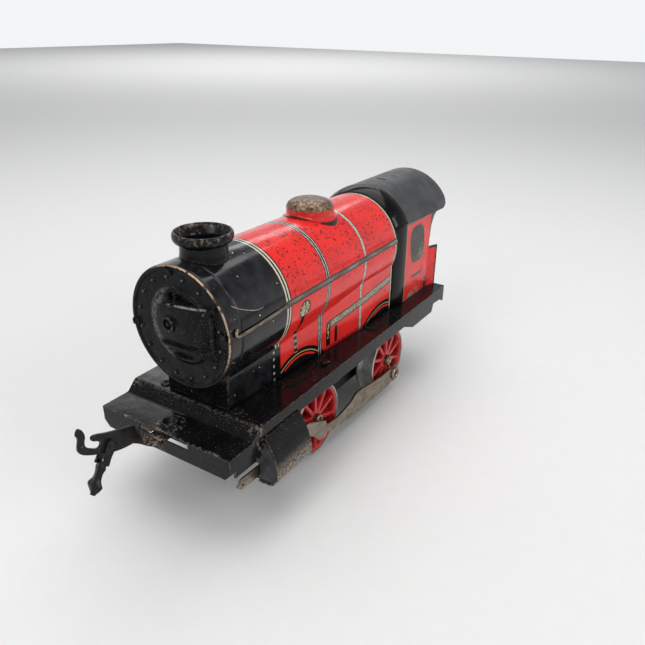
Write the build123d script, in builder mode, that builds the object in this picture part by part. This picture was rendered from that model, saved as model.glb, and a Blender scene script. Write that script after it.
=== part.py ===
from build123d import *
import os
from math import atan2, cos, degrees, hypot, pi, radians, sin, sqrt

os.makedirs("parts", exist_ok=True)

# Clockwork gauge 0 tinplate locomotive, millimetres.
# The front faces -Y, +X is the engine's left side, z = 0 is the surface under the wheel flanges.

# --- footplate -------------------------------------------------------------------------------
SHEET = 0.6
PLATE_HALF = 27.0
PLATE_END = 77.0
LOW_Z = 34.0
DECK_Z = 37.5
RAMP_FOOT = -66.2
RAMP_HEAD = -62.6
VALANCE_Z = 32.0
BEAM_Z = 26.5
STEP_Z = 28.4
WELL_HALF = 12.4
WELL_FRONT = -31.0
WELL_REAR = 43.0

# --- boiler and smokebox ---------------------------------------------------------------------
TIN = 0.45
AXIS_Z = 64.9
BOILER_R = 19.9
SMOKEBOX_FRONT = -65.0
SADDLE_Y = -60.0
SADDLE_HALF = 12.8
WAIST_Y = 15.0
WAIST_HALF = 18.3
BOILER_REAR = 39.5
RAIL_Z = 67.4
CHIMNEY_Y = -52.6
CHIMNEY_TOP = 92.0
CHIMNEY_BORE = 6.45
CHIMNEY_FOOT = 85.05
DOME_Y = 4.5
DOME_TOP = 90.2

# --- cab -------------------------------------------------------------------------------------
CAB_TIN = 0.5
CAB_HALF = 19.8
RING_HALF = 20.2
RING_R = 22.3
RING_REAR = 47.5
ROOF_R = 21.9
ROOF_REAR = 88.0
EAVE_Z = 72.6
CREASE_Y = 71.6
WING_X = 21.9
LEDGE_Z = 56.6

# --- wheels, axles and mechanism -------------------------------------------------------------
TREAD_R = 14.1
FLANGE_R = 15.5
WHEEL_IN = 14.0
WHEEL_OUT = 21.0
RIM_R = 12.4
SPOKES = 10
AXLE_R = 1.5
RUNNING = 0.05
FRONT_AXLE = (-21.6, 15.5)
REAR_AXLE = (33.8, 15.5)
CRANK_R = 8.0
CRANK_ANGLE = -68.0
PIN_R = 1.1
FRAME_X = 10.6
FRAME_T = 0.8
MODULE = 0.75
GREAT_TEETH = 48
CENTRE_TEETH = 32
LEAF_TEETH = 8
SPRING_TURNS = 6.5
ARBOR_END = -23.5

# --- motion work -----------------------------------------------------------------------------
ROD_X = 22.4
ROD_T = 0.8
STRIP_X = 21.5
STRIP_OUT_X = 23.6
STRIP_T = 0.6
CYLINDER_FRONT = -61.2
CYLINDER_REAR = -42.6

# --- couplings -------------------------------------------------------------------------------
HOOK_X = -1.0
HOOK_T = 1.1
PIVOT_Y = -72.5
TWIST_START = -79.4
EYE = (-95.6, 40.7)


def across(y):
    """Cross-section plane at y: local x is X, local y is Z, and it faces the front."""
    return Plane((0, y, 0), x_dir=(1, 0, 0), z_dir=(0, -1, 0))


def side(x):
    """Side-view plane at x: local x is Y, local y is Z, and it faces +X."""
    return Plane((x, 0, 0), x_dir=(0, 1, 0), z_dir=(1, 0, 0))


def slab(outline, x_from, x_to, mode=Mode.ADD):
    """Side-view outline of (y, z) points carried from one x to another."""
    with BuildSketch(side(x_from)) as view:
        with BuildLine():
            Polyline(*outline, close=True)
        make_face()
    extrude(view.sketch, amount=x_to - x_from, mode=mode)


def section(outline, y_from, y_to, mode=Mode.ADD):
    """Cross-section outline of (x, z) points carried from one y to another."""
    with BuildSketch(across(y_from)) as view:
        with BuildLine():
            Polyline(*outline, close=True)
        make_face()
    extrude(view.sketch, amount=y_from - y_to, mode=mode)


def rod_x(centre, radius, x_from, x_to, mode=Mode.ADD):
    """Round bar along X through centre = (y, z)."""
    with BuildSketch(side(x_from)) as view:
        with Locations(centre):
            Circle(radius)
    extrude(view.sketch, amount=x_to - x_from, mode=mode)


def rod_y(centre, radius, y_from, y_to, mode=Mode.ADD):
    """Round bar along Y through centre = (x, z)."""
    with BuildSketch(across(y_from)) as view:
        with Locations(centre):
            Circle(radius)
    extrude(view.sketch, amount=y_from - y_to, mode=mode)


def rod_z(centre, radius, z_from, z_to, mode=Mode.ADD):
    """Round bar along Z through centre = (x, y)."""
    with BuildSketch(Plane.XY.offset(z_from)) as view:
        with Locations(centre):
            Circle(radius)
    extrude(view.sketch, amount=z_to - z_from, mode=mode)


def block(low, high, mode=Mode.ADD):
    """Box between two corners."""
    size = [abs(b - a) for a, b in zip(low, high)]
    with Locations(tuple((a + b) / 2 for a, b in zip(low, high))):
        Box(*size, mode=mode)


def turned(profile, centre, sign=1, mode=Mode.ADD):
    """Wheel-like solid from (x, radius) points, about the X axis through centre = (y, z)."""
    plane = Plane((0, centre[0], centre[1]), x_dir=(1, 0, 0), z_dir=(0, -1, 0))
    with BuildSketch(plane) as view:
        with BuildLine():
            Polyline(*[(sign * x, r) for x, r in profile], close=True)
        make_face()
    revolve(view.sketch, axis=Axis((0, centre[0], centre[1]), (1, 0, 0)), mode=mode)


def tooth_outline(teeth, centre, phase, fullness):
    """Stub-toothed gear outline; one tooth points at phase degrees in the side view."""
    radius = MODULE * teeth / 2
    pitch = 360 / teeth
    corners = ((-0.5 * fullness - 0.09, -0.85), (-0.5 * fullness + 0.09, 0.8))
    points = []
    for tooth in range(teeth):
        middle = phase + tooth * pitch
        flank = [(middle + a * pitch, radius + h * MODULE) for a, h in corners]
        flank += [(middle - a * pitch, radius + h * MODULE) for a, h in reversed(corners)]
        for angle, r in flank:
            points.append((centre[0] + r * cos(radians(angle)), centre[1] + r * sin(radians(angle))))
    return points


def ratchet_outline(teeth, centre, tip_r, root_r):
    """Saw-toothed outline that holds against the click."""
    points = []
    for tooth in range(teeth):
        start = radians(360 * tooth / teeth)
        finish = radians(360 * (tooth + 1) / teeth)
        points.append((centre[0] + tip_r * cos(start), centre[1] + tip_r * sin(start)))
        points.append((centre[0] + root_r * cos(finish), centre[1] + root_r * sin(finish)))
    return points


def write(piece, name):
    """Label the finished piece and write it to its own file."""
    piece.part.label = name
    export_step(piece.part, f"parts/{name}.step")


# =============================================================================================
# Footplate: one pressing with a low front platform, ramp, valances, beams and cab steps
# =============================================================================================
valance = [
    (-PLATE_END, BEAM_Z),
    (-62.0, BEAM_Z),
    (-60.5, VALANCE_Z),
    (36.0, VALANCE_Z),
    (45.0, STEP_Z),
    (64.5, STEP_Z),
    (66.0, VALANCE_Z),
    (75.0, 31.4),
    (PLATE_END, 30.0),
    (PLATE_END, DECK_Z - 0.2),
    (RAMP_HEAD, DECK_Z - 0.2),
    (RAMP_FOOT, LOW_Z - 0.2),
    (-PLATE_END, LOW_Z - 0.2),
]

with BuildPart() as footplate:
    with BuildSketch(side(-PLATE_HALF)):
        with BuildLine():
            top = FilletPolyline(
                (-PLATE_END, LOW_Z), (RAMP_FOOT, LOW_Z), (RAMP_HEAD, DECK_Z), (PLATE_END, DECK_Z), radius=1.5
            )
            under = FilletPolyline(
                (-PLATE_END, LOW_Z - SHEET),
                (RAMP_FOOT + 0.3, LOW_Z - SHEET),
                (RAMP_HEAD + 0.3, DECK_Z - SHEET),
                (PLATE_END, DECK_Z - SHEET),
                radius=1.5,
            )
            Line(top @ 0, under @ 0)
            Line(top @ 1, under @ 1)
        make_face()
    extrude(amount=2 * PLATE_HALF)
    slab(valance, PLATE_HALF - SHEET, PLATE_HALF)
    slab(valance, -PLATE_HALF, -PLATE_HALF + SHEET)
    for sign in (1, -1):
        block((sign * 23.5, 44.7, STEP_Z), (sign * PLATE_HALF, 45.3, DECK_Z - 0.3))
    block((-PLATE_HALF, -PLATE_END, BEAM_Z), (PLATE_HALF, -PLATE_END + SHEET, LOW_Z - 0.1))
    block((-PLATE_HALF, PLATE_END - SHEET, 30.0), (PLATE_HALF, PLATE_END, DECK_Z - 0.1))
    block((-10.4, -PLATE_END - 1, 31.1), (10.4, -PLATE_END + 1, 33.1), mode=Mode.SUBTRACT)
    block((-10.4, PLATE_END - 1, 34.6), (10.4, PLATE_END + 1, 36.6), mode=Mode.SUBTRACT)
    block((-WELL_HALF, WELL_FRONT, 30.0), (WELL_HALF, WELL_REAR, 40.0), mode=Mode.SUBTRACT)
    for end, z in ((1, LOW_Z), (-1, DECK_Z)):
        rod_z((end * HOOK_X, end * PIVOT_Y), 1.05, z - 2, z + 1, mode=Mode.SUBTRACT)
    for x in (-13.6, 13.6):
        for y in (-24.0, 39.0):
            rod_z((x, y), 0.85, 35.0, 39.0, mode=Mode.SUBTRACT)
    for sign in (1, -1):
        notch = [(sign * 27.5, 26.0), (sign * 24.4, 26.0), (sign * 27.5, 29.4)]
        section(notch, -PLATE_END - 1, -PLATE_END + 2.2, mode=Mode.SUBTRACT)
write(footplate, "footplate")

# =============================================================================================
# Boiler and smokebox wrapper with its skirt walls, and the plates that close it
# =============================================================================================


def skirt(half_front, half_rear, y_front, y_rear, z_low, z_high, mode=Mode.ADD):
    """Solid between the skirt walls, wider from the saddle to the waist."""
    with BuildSketch(Plane.XY.offset(z_low)) as plan:
        with BuildLine():
            Polyline(
                (-half_front, y_front),
                (half_front, y_front),
                (half_rear, WAIST_Y),
                (half_rear, y_rear),
                (-half_rear, y_rear),
                (-half_rear, WAIST_Y),
                close=True,
            )
        make_face()
    extrude(plan.sketch, amount=z_high - z_low, mode=mode)


with BuildPart() as boiler_shell:
    rod_y((0, AXIS_Z), BOILER_R, SMOKEBOX_FRONT, BOILER_REAR)
    skirt(SADDLE_HALF, WAIST_HALF, SADDLE_Y, BOILER_REAR, DECK_Z, AXIS_Z)
    rod_y((0, AXIS_Z), BOILER_R - TIN, SMOKEBOX_FRONT - 1, BOILER_REAR + 1, mode=Mode.SUBTRACT)
    skirt(SADDLE_HALF - TIN, WAIST_HALF - TIN, SADDLE_Y, BOILER_REAR + 1, DECK_Z - 1, AXIS_Z, mode=Mode.SUBTRACT)
    for sign in (1, -1):
        rod_y((sign * (BOILER_R - 0.05), RAIL_Z), 0.5, -60.5, BOILER_REAR)
    rod_x((12.2, 44.3), 3.2, -22.0, -15.0, mode=Mode.SUBTRACT)
write(boiler_shell, "boiler_shell")

with BuildPart() as saddle_front:
    block((-SADDLE_HALF, SADDLE_Y - 0.4, DECK_Z), (SADDLE_HALF, SADDLE_Y, 52.0))
    rod_y((0, AXIS_Z), BOILER_R + 0.02, SADDLE_Y - 1, SADDLE_Y + 1, mode=Mode.SUBTRACT)
write(saddle_front, "saddle_front")

with BuildPart() as smokebox_front:
    rod_y((0, AXIS_Z), BOILER_R - TIN - 0.05, SMOKEBOX_FRONT - 0.1, SMOKEBOX_FRONT + 0.5)
    rod_y((0, AXIS_Z), BOILER_R, SMOKEBOX_FRONT - 0.9, SMOKEBOX_FRONT - 0.05)
    rod_y((0, AXIS_Z), BOILER_R - 1.2, SMOKEBOX_FRONT - 1.0, SMOKEBOX_FRONT - 0.4, mode=Mode.SUBTRACT)
    rod_y((1.0, AXIS_Z + 0.8), 12.7, SMOKEBOX_FRONT - 1.1, SMOKEBOX_FRONT - 0.3)
    rod_y((1.0, AXIS_Z + 0.8), 11.9, SMOKEBOX_FRONT - 1.2, SMOKEBOX_FRONT - 0.8, mode=Mode.SUBTRACT)
write(smokebox_front, "smokebox_front")

with BuildPart() as smokebox_hinge:
    for z in (59.3, 72.4):
        block((-4.5, SMOKEBOX_FRONT - 1.6, z - 0.9), (14.3, SMOKEBOX_FRONT - 1.1, z + 0.9))
        rod_z((14.3, SMOKEBOX_FRONT - 1.5), 1.0, z - 1.3, z + 1.3)
    rod_z((14.3, SMOKEBOX_FRONT - 1.5), 0.6, 57.2, 74.6)
write(smokebox_hinge, "smokebox_hinge")

with BuildPart() as smokebox_handle:
    rod_y((-2.5, 66.4), 2.0, SMOKEBOX_FRONT - 1.7, SMOKEBOX_FRONT - 0.8)
    rod_y((-2.5, 66.4), 0.9, SMOKEBOX_FRONT - 3.1, SMOKEBOX_FRONT - 1.6)
    block((-3.0, SMOKEBOX_FRONT - 3.0, 61.2), (-2.0, SMOKEBOX_FRONT - 2.4, 67.0))
write(smokebox_handle, "smokebox_handle")

# =============================================================================================
# Chimney and dome
# =============================================================================================
with BuildPart() as chimney:
    with BuildSketch(Plane((0, CHIMNEY_Y, 0), x_dir=(1, 0, 0), z_dir=(0, -1, 0))):
        with BuildLine():
            Polyline((6.9, 78.0), (8.8, 78.0), (8.8, 83.0))
            ThreePointArc((8.8, 83.0), (7.7, 84.6), (7.3, 86.4))
            Line((7.3, 86.4), (7.3, 88.4))
            ThreePointArc((7.3, 88.4), (8.9, 88.9), (9.25, 90.3))
            ThreePointArc((9.25, 90.3), (9.05, 91.6), (8.5, CHIMNEY_TOP))
            Polyline(
                (8.5, CHIMNEY_TOP),
                (8.3, 91.9),
                (CHIMNEY_BORE, 89.2),
                (CHIMNEY_BORE, CHIMNEY_FOOT),
                (6.9, CHIMNEY_FOOT - 0.1),
                (6.9, 78.0),
            )
        make_face()
    revolve(axis=Axis((0, CHIMNEY_Y, 0), (0, 0, 1)))
    rod_y((0, AXIS_Z), BOILER_R, CHIMNEY_Y - 15, CHIMNEY_Y + 15, mode=Mode.SUBTRACT)
write(chimney, "chimney")

with BuildPart() as dome:
    with BuildSketch(Plane((0, DOME_Y, 0), x_dir=(1, 0, 0), z_dir=(0, -1, 0))):
        with BuildLine():
            Line((0, DOME_TOP), (0, DOME_TOP - 0.6))
            ThreePointArc((0, DOME_TOP - 0.6), (6.0, 87.9), (8.3, 84.6))
            Polyline((8.3, 84.6), (8.3, 78.0), (10.4, 78.0), (10.4, 82.4))
            ThreePointArc((10.4, 82.4), (9.1, 83.3), (8.9, 84.8))
            ThreePointArc((8.9, 84.8), (6.4, 88.5), (0, DOME_TOP))
        make_face()
    revolve(axis=Axis((0, DOME_Y, 0), (0, 0, 1)))
    rod_y((0, AXIS_Z), BOILER_R, DOME_Y - 15, DOME_Y + 15, mode=Mode.SUBTRACT)
write(dome, "dome")

# =============================================================================================
# Cab: front pan with a rolled rim, two sides with a flared rear wing, and the arched roof
# =============================================================================================


def arch(half, radius, z_low, y_from, y_to, mode=Mode.ADD):
    """Cab cross-section: upright sides up to a round top about the boiler's axis."""
    spring_z = AXIS_Z + sqrt(radius**2 - half**2)
    with BuildSketch(across(y_from)) as view:
        with BuildLine():
            Polyline((-half, spring_z), (-half, z_low), (half, z_low), (half, spring_z))
            ThreePointArc((half, spring_z), (0, AXIS_Z + radius), (-half, spring_z))
        make_face()
    extrude(view.sketch, amount=y_from - y_to, mode=mode)


with BuildPart() as cab_front:
    arch(RING_HALF, RING_R, DECK_Z, BOILER_REAR, RING_REAR)
    arch(CAB_HALF, ROOF_R, DECK_Z - 1, BOILER_REAR + 0.5, RING_REAR + 1, mode=Mode.SUBTRACT)
    block((-15.0, BOILER_REAR - 1, DECK_Z - 1), (15.0, BOILER_REAR + 2, 46.0), mode=Mode.SUBTRACT)
write(cab_front, "cab_front")

cab_side_view = [
    (RING_REAR - 0.8, DECK_Z),
    (CREASE_Y, DECK_Z),
    (CREASE_Y, LEDGE_Z),
    (CREASE_Y + 0.5, 60.0),
    (CREASE_Y + 1.4, 66.5),
    (CREASE_Y + 3.8, 70.2),
    (CREASE_Y + 8.0, EAVE_Z),
    (RING_REAR - 0.8, EAVE_Z),
]
for label, sign in (("left", 1), ("right", -1)):
    with BuildPart() as cab_side:
        slab(cab_side_view, sign * (CAB_HALF - CAB_TIN), sign * CAB_HALF)
        with BuildSketch(Plane.XY.offset(DECK_Z)):
            with BuildLine():
                Polyline(
                    (sign * (CAB_HALF - CAB_TIN), CREASE_Y - 0.2),
                    (sign * CAB_HALF, CREASE_Y - 0.2),
                    (sign * WING_X, 76.8),
                    (sign * (WING_X - CAB_TIN), 77.0),
                    close=True,
                )
            make_face()
        extrude(amount=LEDGE_Z - DECK_Z)
    write(cab_side, f"cab_side_{label}")

with BuildPart() as cab_roof:
    rod_y((0, AXIS_Z), ROOF_R, RING_REAR - 0.8, ROOF_REAR)
    rod_y((0, AXIS_Z), ROOF_R - CAB_TIN, BOILER_REAR - 1, ROOF_REAR + 1, mode=Mode.SUBTRACT)
    block((-30, 0, 30), (30, 100, EAVE_Z), mode=Mode.SUBTRACT)
    for sign in (1, -1):
        block((sign * (CAB_HALF - 0.05), 40, 60), (sign * 25, RING_REAR + 0.1, 95), mode=Mode.SUBTRACT)
    with BuildSketch(Plane.XY.offset(60)):
        with Locations((0, 50)):
            RectangleRounded(2 * ROOF_R - 2.0, 2 * (ROOF_REAR - 50), 6.0)
    extrude(amount=40, mode=Mode.INTERSECT)
    block((-2.2, 59.4, 80), (2.2, 60.4, 95), mode=Mode.SUBTRACT)
write(cab_roof, "cab_roof")

# =============================================================================================
# Cylinders: bent half-round covers with a slotted front plate
# =============================================================================================


def cylinder_profile(sign, y, inner_x, top_z):
    """Closed cross-section of a cylinder cover, bulging outwards from the valance."""
    with BuildSketch(across(y)) as view:
        with BuildLine():
            ThreePointArc((sign * 27.5, top_z), (sign * 30.9, 27.4), (sign * 32.5, 21.6))
            ThreePointArc((sign * 32.5, 21.6), (sign * 31.6, 17.4), (sign * 28.8, 15.2))
            Polyline(
                (sign * 28.8, 15.2),
                (sign * inner_x, 15.2),
                (sign * inner_x, top_z),
                (sign * 27.5, top_z),
            )
        make_face()
    return view.sketch


for label, sign in (("left", 1), ("right", -1)):
    with BuildPart() as cylinder_cover:
        extrude(cylinder_profile(sign, CYLINDER_FRONT, 24.4, 33.2), amount=CYLINDER_FRONT - CYLINDER_REAR)
        with BuildSketch(across(CYLINDER_FRONT)) as hollow:
            add(cylinder_profile(sign, CYLINDER_FRONT, 24.4, 33.2))
            offset(amount=-0.5)
        extrude(hollow.sketch, amount=CYLINDER_FRONT - CYLINDER_REAR, mode=Mode.SUBTRACT)
        block(
            (sign * 23, CYLINDER_FRONT - 1, 15.7), (sign * 27.02, CYLINDER_REAR + 1, 34.0), mode=Mode.SUBTRACT
        )
    write(cylinder_cover, f"cylinder_cover_{label}")

    with BuildPart() as cylinder_front:
        with BuildSketch(across(CYLINDER_FRONT + 0.6)) as plate:
            add(cylinder_profile(sign, CYLINDER_FRONT + 0.6, 22.6, 31.8))
            offset(amount=-0.56)
        extrude(plate.sketch, amount=-0.5)
        block((sign * 23.1, -62, 16.2), (sign * 24.7, -59, 21.8), mode=Mode.SUBTRACT)
    write(cylinder_front, f"cylinder_front_{label}")

# =============================================================================================
# Wheels, axles and crankpins
# =============================================================================================
crank = (
    REAR_AXLE[0] + CRANK_R * cos(radians(CRANK_ANGLE)),
    REAR_AXLE[1] + CRANK_R * sin(radians(CRANK_ANGLE)),
)
for end, centre in (("front", FRONT_AXLE), ("rear", REAR_AXLE)):
    for label, sign in (("left", 1), ("right", -1)):
        with BuildPart() as tyre:
            turned(
                [
                    (WHEEL_IN, RIM_R),
                    (WHEEL_IN, FLANGE_R - 0.4),
                    (WHEEL_IN + 0.5, FLANGE_R),
                    (WHEEL_IN + 1.2, FLANGE_R),
                    (WHEEL_IN + 2.6, TREAD_R),
                    (WHEEL_OUT - 0.3, TREAD_R),
                    (WHEEL_OUT, TREAD_R - 0.3),
                    (WHEEL_OUT, RIM_R),
                ],
                centre,
                sign,
            )
        write(tyre, f"tyre_{end}_{label}")

        with BuildPart() as wheel:
            turned([(16.0, AXLE_R), (16.0, RIM_R), (17.2, RIM_R), (17.2, AXLE_R)], centre, sign)
            turned([(14.6, AXLE_R), (14.6, 3.4), (20.8, 3.4), (20.8, AXLE_R)], centre, sign)
            turned([(16.5, 11.4), (16.5, RIM_R), (20.6, RIM_R), (20.6, 11.4)], centre, sign)
            with BuildSketch(Plane((sign * 17.0, *centre), x_dir=(0, 1, 0), z_dir=(sign, 0, 0))):
                with PolarLocations(7.4, SPOKES, start_angle=90):
                    Rectangle(8.6, 1.5)
            extrude(amount=2.9)
            if end == "rear":
                rod_x(crank, 2.6, sign * 17.0, sign * 20.8)
                rod_x(crank, PIN_R, sign * 16.0, sign * 21.0, mode=Mode.SUBTRACT)
        write(wheel, f"wheel_{end}_{label}")

    with BuildPart() as axle:
        rod_x(centre, AXLE_R, -21.15, 21.15)
    write(axle, f"{end}_axle")

with BuildPart() as crankpins:
    for sign in (1, -1):
        rod_x(crank, PIN_R, sign * 16.0, sign * 23.4)
        rod_x(crank, 3.3, sign * 23.3, sign * 24.0)
        rod_x(crank, 1.7, sign * 21.0, sign * 22.3)
write(crankpins, "crankpins")

# =============================================================================================
# Connecting rods and piston strips
# =============================================================================================
crosshead = (-33.0, 17.4)
rod_outline = [
    (33.4, 4.5),
    (24.3, 4.3),
    (14.3, 4.6),
    (2.8, 5.2),
    (-7.0, 6.3),
    (-14.4, 7.5),
    (-17.6, 8.6),
    (-19.9, 8.2),
    (-21.6, 7.3),
    (-23.9, 8.3),
    (-26.8, 11.5),
    (-31.0, 14.4),
    (-35.4, 15.0),
    (-35.4, 20.0),
    (-30.1, 19.2),
    (-26.0, 17.4),
    (-19.2, 14.3),
    (-18.4, 12.2),
    (-16.6, 11.6),
    (-10.9, 11.1),
    (-5.5, 11.6),
    (-0.5, 12.6),
    (3.6, 14.5),
    (8.3, 14.3),
    (15.9, 12.9),
    (24.8, 11.8),
    (33.4, 11.6),
]
strip_outline = [(-33.0, 15.4), (-49.0, 15.6), (-49.0, 19.6), (-33.0, 19.4)]
strip_front = [(-52.0, 16.5), (-69.0, 17.0), (-71.2, 19.0), (-69.2, 21.0), (-52.0, 20.4)]
for label, sign in (("left", 1), ("right", -1)):
    with BuildPart() as connecting_rod:
        slab(rod_outline, sign * ROD_X, sign * (ROD_X + ROD_T))
        rod_x(crank, 3.9, sign * ROD_X, sign * (ROD_X + ROD_T))
        rod_x(crank, PIN_R + RUNNING, sign * (ROD_X - 1), sign * (ROD_X + 2), mode=Mode.SUBTRACT)
        rod_x(crosshead, 1.5, sign * (ROD_X + ROD_T - 0.1), sign * (ROD_X + ROD_T + 0.5))
    write(connecting_rod, f"connecting_rod_{label}")

    with BuildPart() as piston_strip:
        slab(strip_outline, sign * STRIP_X, sign * (STRIP_X + STRIP_T))
        rod_x(crosshead, 2.4, sign * STRIP_X, sign * (STRIP_X + STRIP_T))
        with BuildSketch(Plane.XY.offset(16.5)):
            with BuildLine():
                Polyline(
                    (sign * STRIP_X, -48.5),
                    (sign * (STRIP_X + STRIP_T), -48.5),
                    (sign * (STRIP_OUT_X + STRIP_T), -52.5),
                    (sign * STRIP_OUT_X, -52.5),
                    close=True,
                )
            make_face()
        extrude(amount=3.1)
        slab(strip_front, sign * STRIP_OUT_X, sign * (STRIP_OUT_X + STRIP_T))
        rod_x((-68.4, 19.0), 0.7, sign * 22.0, sign * 26.0, mode=Mode.SUBTRACT)
    write(piston_strip, f"piston_strip_{label}")

# =============================================================================================
# Clockwork: side plates, pillars, spring, train
# =============================================================================================
centre_arbor = (REAR_AXLE[0] - 9.0, REAR_AXLE[1] + 12.0)
great_arbor = (centre_arbor[0] - 12.6, centre_arbor[1] + 16.8)
pillars = ((-22.0, 38.0), (-6.0, 22.0), (-9.5, 55.0), (37.0, 38.5))
plate_outline = [
    (-29.0, 10.0),
    (40.5, 10.0),
    (40.5, 42.0),
    (31.0, 60.0),
    (-12.0, 62.0),
    (-29.0, 44.0),
]
for label, sign in (("left", 1), ("right", -1)):
    with BuildPart() as frame_plate:
        slab(plate_outline, sign * FRAME_X, sign * (FRAME_X + FRAME_T))
        for y in (-24.0, 39.0):
            block((sign * (FRAME_X + 0.1), y - 2.5, DECK_Z - SHEET - 0.8), (sign * 15.6, y + 2.5, DECK_Z - SHEET))
            rod_z((sign * 13.6, y), 0.85, 35.0, 39.0, mode=Mode.SUBTRACT)
        for centre, radius in (
            (FRONT_AXLE, AXLE_R),
            (REAR_AXLE, AXLE_R),
            (centre_arbor, 1.0),
            (great_arbor, 1.5),
        ):
            rod_x(centre, radius + RUNNING, sign * 10.0, sign * 12.0, mode=Mode.SUBTRACT)
    write(frame_plate, f"frame_plate_{label}")

with BuildPart() as frame_pillars:
    for pillar in pillars:
        rod_x(pillar, 1.3, -FRAME_X, FRAME_X)
write(frame_pillars, "frame_pillars")

with BuildPart() as frame_rivets:
    for x in (-13.6, 13.6):
        for y in (-24.0, 39.0):
            rod_z((x, y), 0.85, 35.6, 38.2)
            rod_z((x, y), 1.2, DECK_Z, 38.2)
            rod_z((x, y), 1.4, 35.5, 36.1)
write(frame_rivets, "frame_rivets")

with BuildPart() as great_wheel:
    slab(tooth_outline(GREAT_TEETH, great_arbor, -degrees(atan2(16.8, 12.6)), 0.42), 5.4, 6.6)
    rod_x(great_arbor, 3.2, 5.2, 7.6)
    with BuildSketch(side(5.0)):
        with Locations(great_arbor):
            with PolarLocations(10.6, 5, start_angle=54):
                Circle(3.3)
    extrude(amount=3.0, mode=Mode.SUBTRACT)
    rod_x(great_arbor, 1.5 + RUNNING, 5.0, 8.0, mode=Mode.SUBTRACT)
write(great_wheel, "great_wheel")

with BuildPart() as ratchet_wheel:
    slab(ratchet_outline(14, great_arbor, 5.6, 4.7), 3.4, 4.6)
    rod_x(great_arbor, 1.5, 3.0, 5.0, mode=Mode.SUBTRACT)
write(ratchet_wheel, "ratchet_wheel")

with BuildPart() as winding_arbor:
    rod_x(great_arbor, 1.5, -20.0, FRAME_X + FRAME_T + 0.4)
    rod_x(great_arbor, 2.4, -9.9, -1.2)
    with BuildSketch(side(ARBOR_END)):
        with Locations(great_arbor):
            Rectangle(2.1, 2.1)
    extrude(amount=-19.0 - ARBOR_END)
write(winding_arbor, "winding_arbor")

click_pivot = (great_arbor[0] - 5.2, great_arbor[1] + 6.6)
with BuildPart() as click:
    rod_x(click_pivot, 1.5, 3.6, 5.1)
    slab(
        [
            (click_pivot[0] + 0.2, click_pivot[1] + 1.4),
            (click_pivot[0] + 5.4, click_pivot[1] + 0.6),
            (click_pivot[0] + 5.6, click_pivot[1] - 0.75),
            (click_pivot[0] - 0.2, click_pivot[1] - 1.2),
        ],
        3.6,
        4.6,
    )
    rod_x(click_pivot, 0.8 + RUNNING, 3.0, 6.0, mode=Mode.SUBTRACT)
write(click, "click")

with BuildPart() as click_stud:
    rod_x(click_pivot, 0.8, 3.2, 5.5)
    rod_x(click_pivot, 1.3, 2.9, 3.4)
write(click_stud, "click_stud")

with BuildPart() as centre_wheel:
    slab(tooth_outline(CENTRE_TEETH, centre_arbor, -degrees(atan2(12.0, 9.0)), 0.42), 1.0, 2.2)
    rod_x(centre_arbor, 1.0, 0.5, 3.0, mode=Mode.SUBTRACT)
write(centre_wheel, "centre_wheel")

great_direction = degrees(atan2(16.8, -12.6))
with BuildPart() as centre_pinion:
    slab(tooth_outline(LEAF_TEETH, centre_arbor, great_direction + 180 / LEAF_TEETH, 0.36), 2.3, 7.4)
    rod_x(centre_arbor, 1.0, 2.0, 8.0, mode=Mode.SUBTRACT)
write(centre_pinion, "centre_pinion")

with BuildPart() as centre_staff:
    rod_x(centre_arbor, 1.0, -FRAME_X - FRAME_T - 0.3, FRAME_X + FRAME_T + 0.3)
write(centre_staff, "centre_staff")

with BuildPart() as axle_pinion:
    slab(tooth_outline(LEAF_TEETH, REAR_AXLE, degrees(atan2(12.0, -9.0)) + 180 / LEAF_TEETH, 0.36), 0.4, 2.8)
    rod_x(REAR_AXLE, AXLE_R, 0.0, 4.0, mode=Mode.SUBTRACT)
write(axle_pinion, "axle_pinion")


def spiral_point(turn, shift):
    """Point of the mainspring's spiral, shift millimetres outside its middle line."""
    radius = 2.8 + 12.4 * turn / SPRING_TURNS + shift
    return (great_arbor[0] + radius * cos(2 * pi * turn), great_arbor[1] + radius * sin(2 * pi * turn))


with BuildPart() as mainspring:
    steps = [SPRING_TURNS * i / 90 for i in range(91)]
    with BuildSketch(side(-9.4)):
        with BuildLine():
            inner = Spline(*[spiral_point(turn, -0.2) for turn in steps])
            outer = Spline(*[spiral_point(turn, 0.2) for turn in steps])
            Line(inner @ 0, outer @ 0)
            Line(inner @ 1, outer @ 1)
        make_face()
    extrude(amount=8.0)
write(mainspring, "mainspring")

# =============================================================================================
# Brake lever: hangs on the rear pillar and reaches into the cab
# =============================================================================================
lever_x = -10.3
with BuildPart() as brake_lever:
    rod_x(pillars[3], 2.6, lever_x, lever_x + 0.8)
    slab([(27.0, 29.6), (28.6, 28.2), (37.6, 36.6), (36.4, 39.8)], lever_x, lever_x + 0.8)
    slab([(37.0, 37.2), (60.5, 44.6), (60.5, 47.4), (37.0, 40.0)], lever_x, lever_x + 0.8)
    block((lever_x - 1.6, 59.7, 44.8), (lever_x + 2.4, 60.5, 52.0))
    rod_x(pillars[3], 1.3 + RUNNING, lever_x - 1, lever_x + 2, mode=Mode.SUBTRACT)
write(brake_lever, "brake_lever")

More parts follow.
